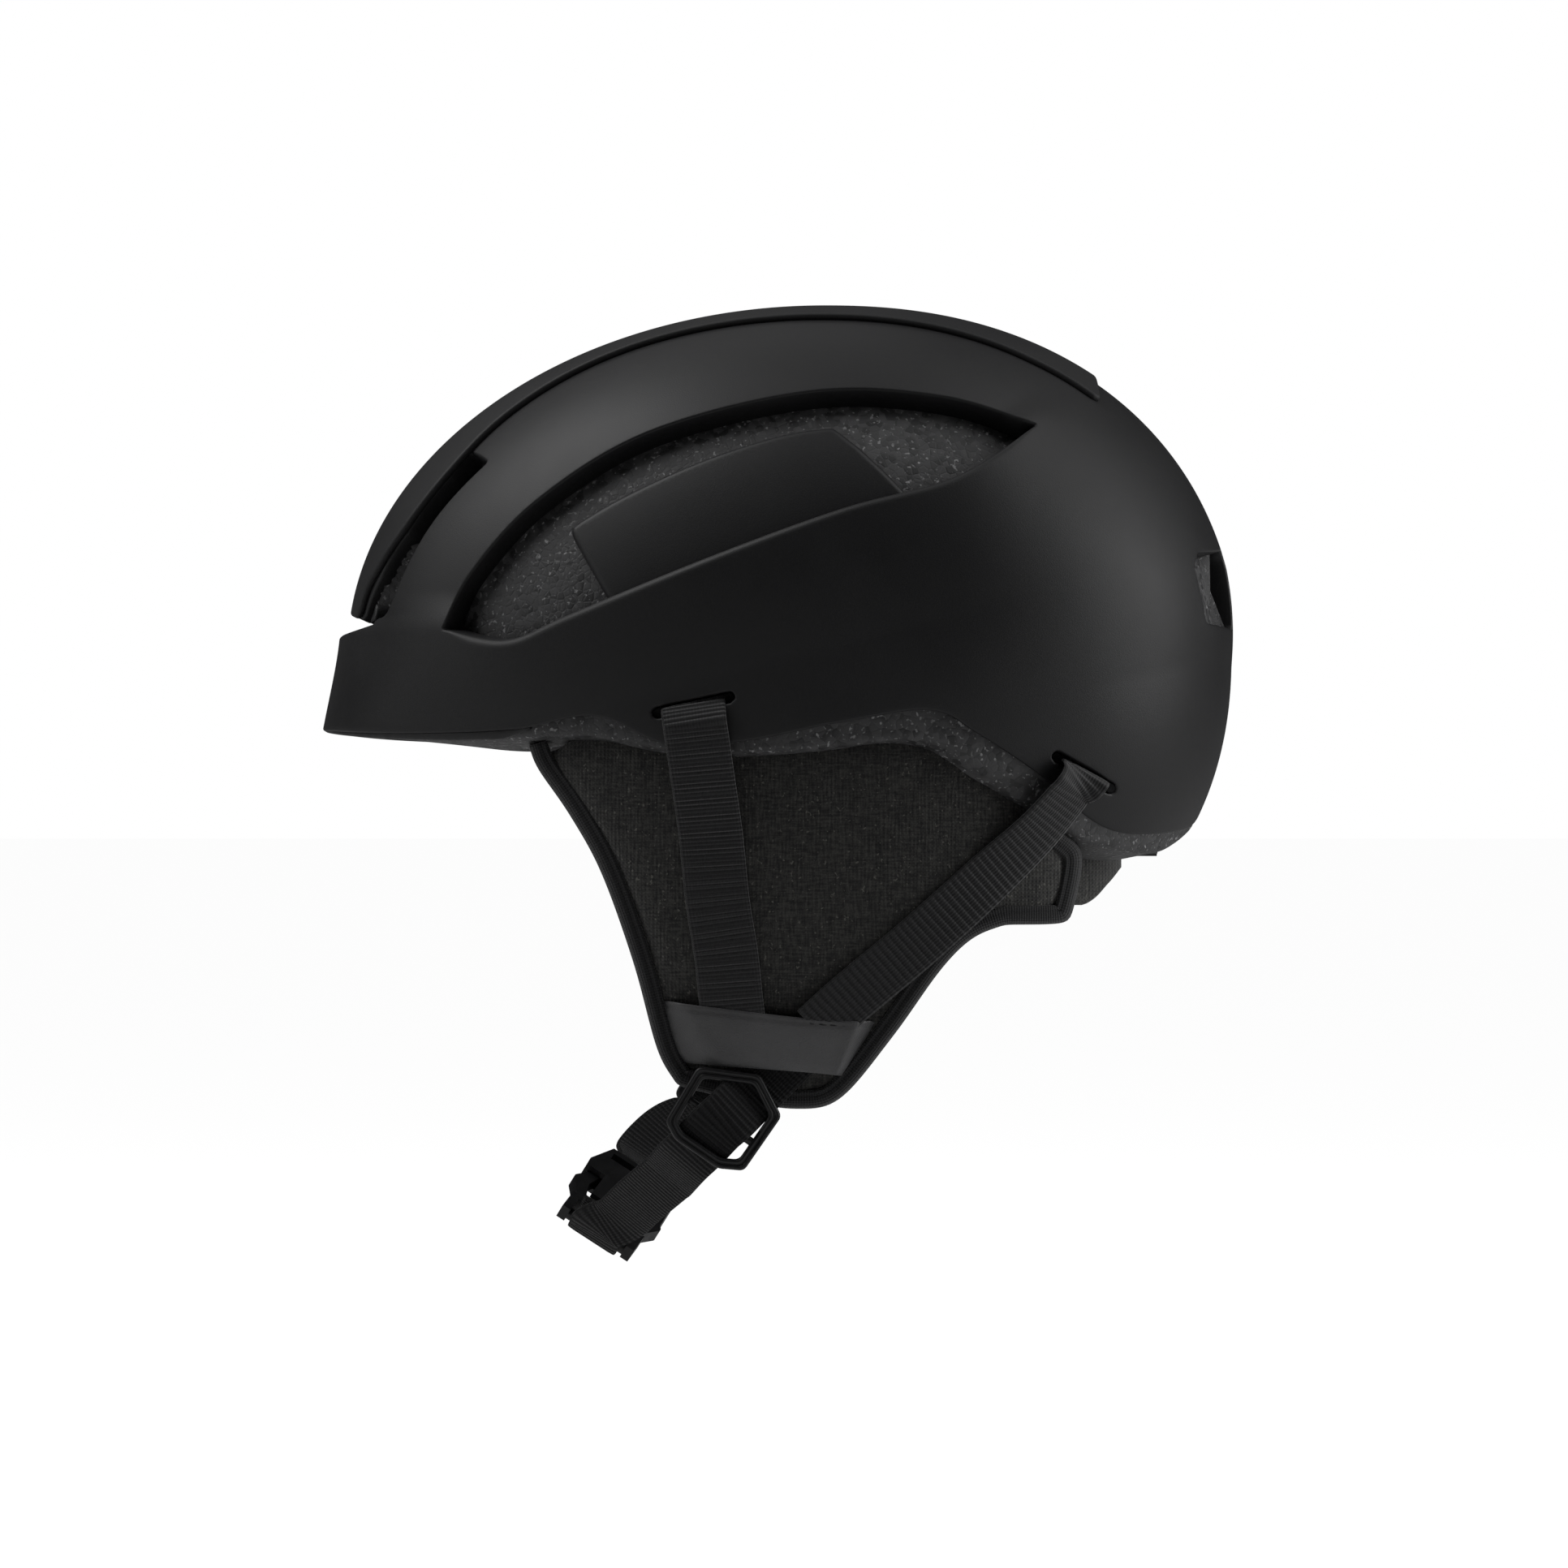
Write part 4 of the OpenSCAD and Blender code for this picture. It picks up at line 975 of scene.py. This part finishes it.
def swell(obj, voxel, pressure, cap, held):
    """Inflates a closed piece as sewn fabric: a cloth simulation whose result becomes the mesh.
    held gives, for points in mm, how far each is kept from swelling, from 0 to 1."""
    bpy.context.view_layer.objects.active = obj
    obj.select_set(True)
    remesh = obj.modifiers.new("remesh", "REMESH")
    remesh.mode = "VOXEL"
    remesh.voxel_size = voxel * MM
    bpy.ops.object.modifier_apply(modifier=remesh.name)
    start = np.array([v.co for v in obj.data.vertices])
    cloth = obj.modifiers.new("cloth", "CLOTH")
    cloth.settings.use_pressure = True
    cloth.settings.uniform_pressure_force = pressure
    cloth.settings.effector_weights.gravity = 0
    cloth.settings.tension_stiffness = 30
    scene = bpy.context.scene
    for step in range(SWELL_FRAMES):
        scene.frame_set(step + 1)
    bpy.ops.object.modifier_apply(modifier=cloth.name)
    scene.frame_set(1)
    moved = np.array([v.co for v in obj.data.vertices]) - start
    length = np.linalg.norm(moved, axis=1, keepdims=True)
    free = 1 - held(start / MM)
    moved *= np.minimum(1, cap * MM * free[:, None] / np.maximum(1e-9, length))
    obj.data.vertices.foreach_set("co", (start + moved).ravel())
    soften = obj.modifiers.new("soften", "SMOOTH")
    soften.iterations = 6
    bpy.ops.object.modifier_apply(modifier=soften.name)
    subdivide = obj.modifiers.new("subdivide", "SUBSURF")
    subdivide.levels = subdivide.render_levels = 1
    bpy.ops.object.modifier_apply(modifier=subdivide.name)
    obj.data.shade_smooth()
    obj.select_set(False)


# Size of the pad's cloth mesh, pressure in it and how far it may swell
PAD_VOXEL = 4.0
PAD_PRESSURE = 4.0
PAD_SWELL = 2.2
SWELL_FRAMES = 20


def held_by_cover(p):
    """The strap cover holds the lower part of a pad in."""
    return 0.85 * smooth((-70 - p[:, 2]) / 12)


def build_ear_pads():
    """One pad is simulated, and the other side is its mirror image."""
    us, vs = np.linspace(-88, 104, 90), np.linspace(-125, 6, 64)
    depth = EAR_PAD_T - 2.5
    verts, faces, _ = skin(pad_surface, us, vs, pad_keep, depth, rounded_edge(3.0, depth), flip=False)
    left = make_object("ear_cushion_left", verts, faces, ear_fabric, "helmet")
    swell(left, PAD_VOXEL, PAD_PRESSURE, PAD_SWELL, held_by_cover)
    mesh = left.data.copy()
    flipped = np.array([v.co for v in mesh.vertices]) * (-1, 1, 1)
    mesh.vertices.foreach_set("co", flipped.ravel())
    mesh.flip_normals()
    right = bpy.data.objects.new("ear_cushion_right", mesh)
    bpy.context.scene.collection.objects.link(right)
    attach(right, "helmet")
    for pad, side in ((left, "left"), (right, "right")):
        finish_piece(pad, "ear_fabric", f"ear_pad_{side}")


# Cross-section of the binding: (into the pad, out along x), round an edge 5.5 mm wide
BINDING_PROFILE = [(0.0, -6.5), (0.0, -3.0), (0.3, -1.0), (1.0, 0.3), (2.2, 0.9), (3.3, 0.8), (3.9, 0.3),
                   (4.4, 0.7), (5.1, 0.6), (5.7, -0.2), (5.8, -2.0), (5.0, -6.0), (5.0, -10.5), (4.4, -12.3),
                   (2.4, -13.0), (0.8, -12.2), (0.0, -10.0)]


def build_bindings():
    edge = np.concatenate([free_edge, [(79, -29.5)]])
    track = resample(np.hstack([edge, np.zeros((len(edge), 1))]), 1.5)[:, :2]
    for _ in range(3):
        track[1:-1] = (track[:-2] + 2 * track[1:-1] + track[2:]) / 4
    along = unit(np.gradient(track, axis=0))
    inward = np.stack([-along[:, 1], along[:, 0]], -1)
    rings = []
    for into, out in BINDING_PROFILE:
        p = track + inward * into
        rings.append(np.stack([cheek_x(p[:, 0], p[:, 1]) + out, p[:, 0], p[:, 1]], -1))
    rings = np.stack(rings, 1)
    verts, faces = loft(rings)
    both_sides("edge_binding", verts, faces, edge_knit, "binding_knit", "ear_binding", loft_uv(rings))


# ---------------------------------------------------------------- webbing
FRONT_WEB = [(-26, 3.5), (-23.5, -14), (-20.9, -33), (-19, -52), (-16.5, -68), (-14.8, -84), (-13, -96)]
REAR_WEB = [(88.5, -15.5), (75.5, -31.1), (61, -44.9), (46.7, -58), (37.2, -66.4), (26.5, -75.3),
            (17.5, -83), (10, -90)]
FINE_PITCH = 1.75
COARSE_PITCH = 2.2


def webbing(path, across, width, pitch, rib=0.2):
    """Rings of a strap with raised ribs, along 3D points with the direction of its width at each."""
    track = resample(np.hstack([path, across]), pitch / 8)
    centre = track[:, :3]
    along = unit(np.gradient(centre, axis=0))
    up = unit(np.cross(along, track[:, 3:]))
    side = np.cross(up, along)
    wave = rib * np.abs(np.sin(np.arange(len(track)) * math.pi / 8)) ** 0.6
    half, thick = width / 2, WEB_T / 2 - rib
    flat = np.linspace(0.7 - half, half - 0.7, 11)
    section = [(u, 1, 0.4 if abs(u) > half - 1.5 else 1) for u in flat]
    section += [(half - 0.15, 0.75, 0.3), (half, 0, 0), (half - 0.15, -0.75, -0.3)]
    section += [(u, -h, -w) for u, h, w in section[10::-1]]
    section += [(0.15 - half, -0.75, -0.3), (-half, 0, 0), (0.15 - half, 0.75, 0.3)]
    return np.stack([centre + side * u + up * (h * thick + wave * w)[:, None] for u, h, w in section], 1)


def laid(line, width, lift):
    """Centres and cross directions of a strap that lies on the webbing surface along a side-view line."""
    p = spline(line, 4)
    d = unit(np.gradient(p, axis=0))
    a = np.stack([-d[:, 1], d[:, 0]], -1)

    def on(q):
        return np.stack([web_x(q[:, 0], q[:, 1]) + lift, q[:, 0], q[:, 1]], -1)
    return on(p), unit(on(p + a * width / 2) - on(p - a * width / 2))


def out_of_slot(path, across, slot):
    """Adds the turn by which a strap comes out of its slot."""
    (y0, z0), (y1, z1) = slot
    y, z = (y0 + y1) / 2, (z0 + z1) / 2
    x = float(dome_x(np.array(y), np.array(z)))
    lead = np.array([(x - 9, y, z), (x - 4, y, z), (x - 0.2, y, z - 0.1)])
    direction = unit(np.array([0.0, y1 - y0, z1 - z0])) * np.sign(across[0, 1] * (y1 - y0))
    return np.concatenate([lead, path[1:]]), np.concatenate([np.tile(direction, (3, 1)), across[1:]])


def build_side_straps():
    front = out_of_slot(*laid(FRONT_WEB, WEB_W, 0.9), FRONT_SLOT)
    rear = out_of_slot(*laid(REAR_WEB, REAR_WEB_W, 1.4), REAR_SLOT)
    for side, material, rings in (("front", front_webbing, webbing(*front, WEB_W, FINE_PITCH)),
                                  ("rear", rear_webbing, webbing(*rear, REAR_WEB_W + 1, COARSE_PITCH, 0.26))):
        verts, faces = loft(rings)
        both_sides(f"{side}_strap", verts, faces, material, "webbing", f"strap_{side}", loft_uv(rings))


# Leather band over the straps: its upper and lower edges in side view
COVER_TOP = [(-35.5, -81.5), (-21, -83.4), (11, -87), (27.5, -87.5)]
COVER_FOOT = [(-30.5, -100), (-8, -101.6), (10, -103), (18.5, -104)]


def build_covers():
    n = 60
    top = spline(COVER_TOP, 20)
    foot = spline(COVER_FOOT, 20)
    t = np.linspace(0, 1, n)
    top = np.stack([np.interp(t, np.linspace(0, 1, len(top)), c) for c in top.T], -1)
    foot = np.stack([np.interp(t, np.linspace(0, 1, len(foot)), c) for c in foot.T], -1)
    rows = []
    for v in np.linspace(0, 1, 22):
        p = mix(top, foot, v)
        bulge = 4.0 * smooth(t / 0.22) * smooth((1 - t) / 0.16) - 0.4
        wrinkle = 0.12 * np.sin(9 * t + 5 * v) + 0.08 * np.sin(23 * t - 4 * v + 1)
        hem = -0.5 * math.exp(-((v - 0.09) / 0.03) ** 2) - 0.4 * math.exp(-((v - 0.93) / 0.03) ** 2)
        x = cheek_x(p[:, 0], p[:, 1]) + bulge + wrinkle * smooth(4 * t) + hem
        rows.append(np.stack([x, p[:, 0], p[:, 1]], -1))
    front = np.array(rows)
    back = front - (1.3, 0, 0)
    round_off = np.array([0.55, 0.15] + [0.0] * 18 + [0.15, 0.55])[:, None, None]
    verts, faces = pillow(front - round_off * (1, 0, 0), back)
    both_sides("leather_band", verts, faces, cover_leather, "cover_leather", "strap_cover")


# ---------------------------------------------------------------- strap divider
DIVIDER_X = 80.5
DIVIDER_SLIM = 0.8
DIVIDER = [(-24.9, -101), (-6.5, -103.4), (-0.2, -115.7), (-11.3, -131.7), (-19.2, -131), (-31.7, -122.4),
           (-34.5, -117)]
# (inset from the outer edge, height): a flat ring with a groove along its middle
DIVIDER_PROFILE = [(0.0, 0.6), (0.0, 2.5), (0.25, 3.0), (0.6, 3.2), (1.35, 3.2), (1.55, 2.7), (2.15, 2.7),
                   (2.35, 3.2), (3.1, 3.2), (3.6, 3.0), (3.9, 2.5), (3.9, 0.6), (3.5, 0.0), (0.4, 0.0)]


def rounded_corners(outline, radius, steps=4):
    """Closed outline with each corner cut by a short curve."""
    p = np.array(outline, float)
    out = []
    for a, b, c in zip(np.roll(p, 1, 0), p, np.roll(p, -1, 0)):
        start, end = b + unit(a - b) * radius, b + unit(c - b) * radius
        for t in np.linspace(0, 1, steps + 1):
            out.append((1 - t) ** 2 * start + 2 * t * (1 - t) * b + t * t * end)
    return np.array(out)


def inset_outline(outline, by):
    """Sharp outline moved inwards by a distance on every side."""
    p = np.array(outline, float)
    area = np.sum(p[:, 0] * np.roll(p[:, 1], -1) - np.roll(p[:, 0], -1) * p[:, 1])
    turn = 1 if area > 0 else -1
    out = []
    for a, b, c in zip(np.roll(p, 1, 0), p, np.roll(p, -1, 0)):
        d0, d1 = unit(b - a), unit(c - b)
        n0 = np.array([-d0[1], d0[0]]) * turn
        n1 = np.array([-d1[1], d1[0]]) * turn
        out.append(b + (n0 + n1) * by / (1 + n0 @ n1))
    return np.array(out)


def build_dividers():
    rings = []
    for into, height in DIVIDER_PROFILE:
        q = rounded_corners(inset_outline(DIVIDER, into * DIVIDER_SLIM), 1.5)
        rings.append(np.stack([np.full(len(q), DIVIDER_X + height), q[:, 0], q[:, 1]], -1))
    verts, faces = loft(rings, closed=True)
    middle, along = np.array([-17.3, -117.6]), unit(np.array([0.82, -0.57]))
    bar = []
    for t in np.linspace(-14, 12.6, 8):
        at = middle + along * t
        a = np.linspace(0, 2 * math.pi, 16, endpoint=False)
        side = np.array([-along[1], along[0]])
        q = at + side * (1.25 * np.cos(a))[:, None]
        bar.append(np.stack([DIVIDER_X + 1.5 + 1.2 * np.sin(a), q[:, 0], q[:, 1]], -1))
    bar_verts, bar_faces = loft(bar)
    faces = faces + [[k + len(verts) for k in f] for f in bar_faces]
    verts = np.concatenate([verts, bar_verts])
    both_sides("divider_ring", verts, faces, hardware, "hardware_black", "strap_divider")


# ---------------------------------------------------------------- chin strap
BUCKLE_AT = np.array([6.0, -57, -155])
BUCKLE_D = np.array([-0.92055, 0.25011, 0.30004])
BUCKLE_W = np.array([0.05208, 0.83985, -0.54031])
BUCKLE_N = np.array([-0.38713, -0.48176, -0.78616])
BAR_R = 1.9
CHIN_LEFT = [(73, -27.5, -129), (58, -34, -135), (38, -43, -143.5), (19, -51, -151.5)]
CHIN_RIGHT = [(-73, -30, -124.5), (-64, -37.5, -128), (-52, -45, -135.5), (-42.5, -48, -141.5)]
CHIN_W = 17.2
CHIN_PITCH = 1.7
# From under the leather band, behind the ring, over its bar and behind its lower side
RING_PATH = [(82.2, 10, -90), (80.0, 3, -97), (78.9, -3.5, -103.5), (80.6, -9, -109), (84.6, -15, -115),
             (84.3, -19.5, -119), (79.5, -24.5, -124.5), (73, -29.5, -129.5)]
# Where the near strap's upper piece ends, just over the start of its lower piece
UPPER_END = [(59.2, -33.6, -134.6), (56.9, -34.4, -135.5)]


def in_buckle(d, w, n):
    """Point at (d along, w across, n down) from the tongue's bar."""
    return BUCKLE_AT + BUCKLE_D * d + BUCKLE_W * w + BUCKLE_N * n


def chin_piece(name, path, across, rib, *nodes):
    rings = webbing(path, across, CHIN_W, CHIN_PITCH, rib)
    verts, faces = loft(rings)
    strap = make_object(name, verts, faces, chin_webbing, None, loft_uv(rings))
    return finish_piece(strap, "webbing", *nodes)


def build_chin_straps():
    """Near strap in two pieces that bend at the divider and at the tongue's bar, and the far strap."""
    across = np.array([-0.08, 0.74, -0.67])
    upper = np.array(RING_PATH + UPPER_END)
    strap = chin_piece("chin_strap_upper", upper, np.tile(across, (len(upper), 1)), 0.22)
    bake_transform(strap)

    # Down to the bar, round it and back up behind itself as a sewn tail
    climb, out = np.array([-0.62, -0.78]), np.array([-0.78, 0.62])
    reach = BAR_R + WEB_T / 2 + 0.15
    lower = [CHIN_LEFT[1], CHIN_LEFT[2], (22, -49.6, -150.2)]
    turns = [climb * 9 + out * reach, climb * 3 + out * reach]
    half_turn = np.radians((0, 35, 70, 110, 145, 180))
    turns += [-climb * reach * math.sin(t) + out * reach * math.cos(t) for t in half_turn]
    turns += [climb * 5 - out * reach, climb * 11.5 - out * (reach - 0.4)]
    lower = np.array(lower + [tuple(in_buckle(d, 0, n)) for d, n in turns])
    width_way = np.array([across] * 2 + [mix(across, BUCKLE_W, 0.6)] + [BUCKLE_W] * len(turns))
    strap = chin_piece("chin_strap_lower", lower, width_way, 0.18, "chin_web_left", "chin_web_fold")
    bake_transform(strap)

    far_ring = [(-x, y, z) for x, y, z in RING_PATH[:-1]]
    far_across = np.array([0.08, 0.80, -0.60])
    tail = [tuple(in_buckle(d, 0, n)) for d, n in ((48, -2.4), (44.5, -0.5), (41, 3.2))]
    far = np.array(far_ring + CHIN_RIGHT[:3] + tail)
    width_way = np.array([(0.08, 0.74, -0.67)] * len(far_ring) + [far_across] * 3 + [BUCKLE_W] * 3)
    strap = chin_piece("chin_strap_far", far, width_way, 0.18, "chin_web_right")
    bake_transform(strap)


# ---------------------------------------------------------------- inner pads
PAD_T = 7.0


def cushion(name, surface, us, vs, node, thickness=PAD_T, material=None, body="helmet", channels=0):
    """Sewn pad on a wall: surface(u, v, inset) and a thickness that falls off to a thin sewn edge."""
    u, v = np.meshgrid(np.linspace(*us, 44), np.linspace(*vs, 22))
    s, t = np.meshgrid(np.linspace(0, 1, 44), np.linspace(0, 1, 22))
    edge = np.minimum(1, 9 * s * (1 - s)) ** 0.5 * np.minimum(1, 5 * t * (1 - t)) ** 0.5
    crown = edge * (0.82 + 0.18 * np.sin(math.pi * s) * np.sin(math.pi * t))
    for k in range(channels):
        crown *= 1 - 0.5 * np.exp(-((s - (k + 1) / (channels + 1)) / 0.022) ** 2)
    front = surface(u, v, 0.6 + 1.0 + (thickness - 1.6) * crown)
    back = surface(u, v, 0.6)
    verts, faces = pillow(front, back)
    pad = make_object(name, verts, faces, material or lining, body)
    finish_piece(pad, "comfort_fabric", node)


def vault(x, y, inset):
    """Roof of the head cavity above a point of its plan."""
    share = (np.abs(x / (CAVITY_HALF_W - inset)) ** CAVITY_POW
             + np.abs((y - CAVITY_Y) / (CAVITY_HALF_L - inset)) ** CAVITY_POW)
    return np.stack([x, y, (CAVITY_RISE - inset) * (1 - np.minimum(0.99, share)) ** (1 / CAVITY_POW)], -1)


def build_inner_pads():
    cushion("forehead_pad", cavity, (-142, -38), (0, 26), "brow_pad", channels=4)
    cushion("crown_cushion_front", vault, (-20, 20), (-52, -4), "crown_pad_front")
    cushion("crown_cushion_rear", vault, (-20, 20), (8, 56), "crown_pad_rear")
    for name, node, span, rise in (("temple_pad", "side_pads", (-24, 28), (14, 44)),
                                   ("back_pad", "rear_pads", (42, 68), (12, 48))):
        cushion(name + "_left", cavity, span, rise, node)
        cushion(name + "_right", cavity, (180 - span[0], 180 - span[1]), rise, node)


NAPE_LOW = [(48, -52), (57, -54.2), (62.5, -52.5), (70, -48), (80, -44), (90, -43)]
NAPE_TOP = -38.0


def nape_wall(phi, t, inset):
    """Nape pad's span of the wall: t runs from its lower edge (0) to its top (1)."""
    low = height_at(NAPE_LOW, np.degrees(np.arcsin(np.sin(np.radians(phi)))))
    return cavity(phi, mix(low, NAPE_TOP, t), inset)


def build_nape_pad():
    def wall(phi, t, inset):
        return nape_wall(phi, t, 2.2 + inset * 0.95)
    cushion("nape_cushion", wall, (48, 132), (0, 1), "nape_pad", 9.5, ear_fabric, "cradle", 2)


# ---------------------------------------------------------------- CAD nodes that keep their own shape
KEPT_HARDWARE = ("buckle_socket", "buckle_tongue", "buckle_prong_front", "buckle_prong_rear", "ear_pad_snaps",
                 "strap_anchors")
KEPT_CRADLE = ("cradle_housing", "cradle_cover", "cradle_hanger", "hanger_clips", "band_left", "band_right",
               "fit_dial")


def repaint(node, material, bevel=0.35):
    """Gives a carried-over node its material and soft edges."""
    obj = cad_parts[node]
    obj.data.materials.clear()
    obj.data.materials.append(material)
    if bevel:
        soft = obj.modifiers.new("soft_edges", "BEVEL")
        soft.width = bevel * MM
        soft.segments = 2
        soft.limit_method = "ANGLE"
        soft.angle_limit = math.radians(40)
        soft.harden_normals = False


def repaint_kept():
    for node in KEPT_HARDWARE:
        repaint(node, hardware)
    for node in KEPT_CRADLE:
        repaint(node, trim_plastic)
    repaint("dial_pinion", acetal, 0)
    repaint("dial_screw", zinc, 0.15)


build_shell()
build_ridge()
build_liner()
build_bridges()
build_brow_trim()
build_ear_pads()
build_bindings()
build_side_straps()
build_covers()
build_dividers()
build_chin_straps()
build_inner_pads()
build_nape_pad()
repaint_kept()


# ---------------------------------------------------------------- stage, lights and camera
FLOOR_Z = -0.30
FLOOR_HALF = 30.0
# Strengths that light the object, and those that the camera sees
FILL, FILL_SEEN = 0.012, 1.0
FLOOR_BOUNCE, FLOOR_SEEN = 0.1, 0.97
CAMERA_DISTANCE = 1.9
CAMERA_AT = (CAMERA_DISTANCE, 0.0005, -0.01775)
FRAME_WIDTH = 0.483


def bright_to_camera(tree, socket, strength, seen):
    """A strength that the camera sees as one value and that lights the object with another."""
    choose = tree.nodes.new("ShaderNodeMapRange")
    choose.inputs["To Min"].default_value = strength
    choose.inputs["To Max"].default_value = seen
    tree.links.new(tree.nodes.new("ShaderNodeLightPath").outputs["Is Camera Ray"], choose.inputs["Value"])
    tree.links.new(choose.outputs[0], socket)


def build_stage():
    """A pale floor and a white surround that the camera sees but that throw little light on the object."""
    floor_paint = bpy.data.materials.new("floor_paint")
    floor_paint.use_nodes = True
    paint = floor_paint.node_tree.nodes["Principled BSDF"]
    paint.inputs["Base Color"].default_value = (0.5, 0.5, 0.5, 1)
    paint.inputs["Roughness"].default_value = 1.0
    paint.inputs["Emission Color"].default_value = (1, 1, 1, 1)
    bright_to_camera(floor_paint.node_tree, paint.inputs["Emission Strength"], FLOOR_BOUNCE, FLOOR_SEEN)
    mesh = bpy.data.meshes.new("floor")
    corners = ((-1, -1), (1, -1), (1, 1), (-1, 1))
    mesh.from_pydata([(x * FLOOR_HALF, y * FLOOR_HALF, FLOOR_Z) for x, y in corners], [], [(0, 1, 2, 3)])
    mesh.materials.append(floor_paint)
    floor = bpy.data.objects.new("floor", mesh)
    bpy.context.scene.collection.objects.link(floor)
    world = bpy.data.worlds.new("studio")
    world.use_nodes = True
    background = world.node_tree.nodes["Background"]
    background.inputs["Color"].default_value = (1, 1, 1, 1)
    bright_to_camera(world.node_tree, background.inputs["Strength"], FILL, FILL_SEEN)
    bpy.context.scene.world = world
    bpy.context.scene.view_settings.view_transform = "Standard"


def area_light(name, at, size, watts, towards=(0, 0, 0)):
    data = bpy.data.lights.new(name, "AREA")
    data.shape = "RECTANGLE"
    data.size, data.size_y = size
    data.energy = watts
    light = bpy.data.objects.new(name, data)
    light.location = at
    light.rotation_euler = (Vector(towards) - Vector(at)).to_track_quat("-Z", "Y").to_euler()
    bpy.context.scene.collection.objects.link(light)


def build_lights():
    area_light("crown_softbox", (-0.35, -0.1, 1.35), (1.0, 2.0), 2)
    area_light("top_front_softbox", (0.1, -0.9, 1.2), (1.0, 1.0), 10)
    area_light("top_rear_softbox", (0.1, 0.9, 1.2), (1.0, 1.0), 4)
    area_light("front_softbox", (0.2, -1.4, 0.45), (0.8, 1.0), 2)
    area_light("rear_softbox", (0.2, 1.4, 0.35), (0.8, 1.0), 8)


def build_camera():
    data = bpy.data.cameras.new("camera")
    data.sensor_width = 36
    data.lens = 36 * CAMERA_DISTANCE / FRAME_WIDTH
    camera = bpy.data.objects.new("camera", data)
    camera.location = CAMERA_AT
    camera.rotation_euler = (math.pi / 2, 0, math.pi / 2)
    bpy.context.scene.collection.objects.link(camera)
    bpy.context.scene.camera = camera


build_stage()
build_lights()
build_camera()
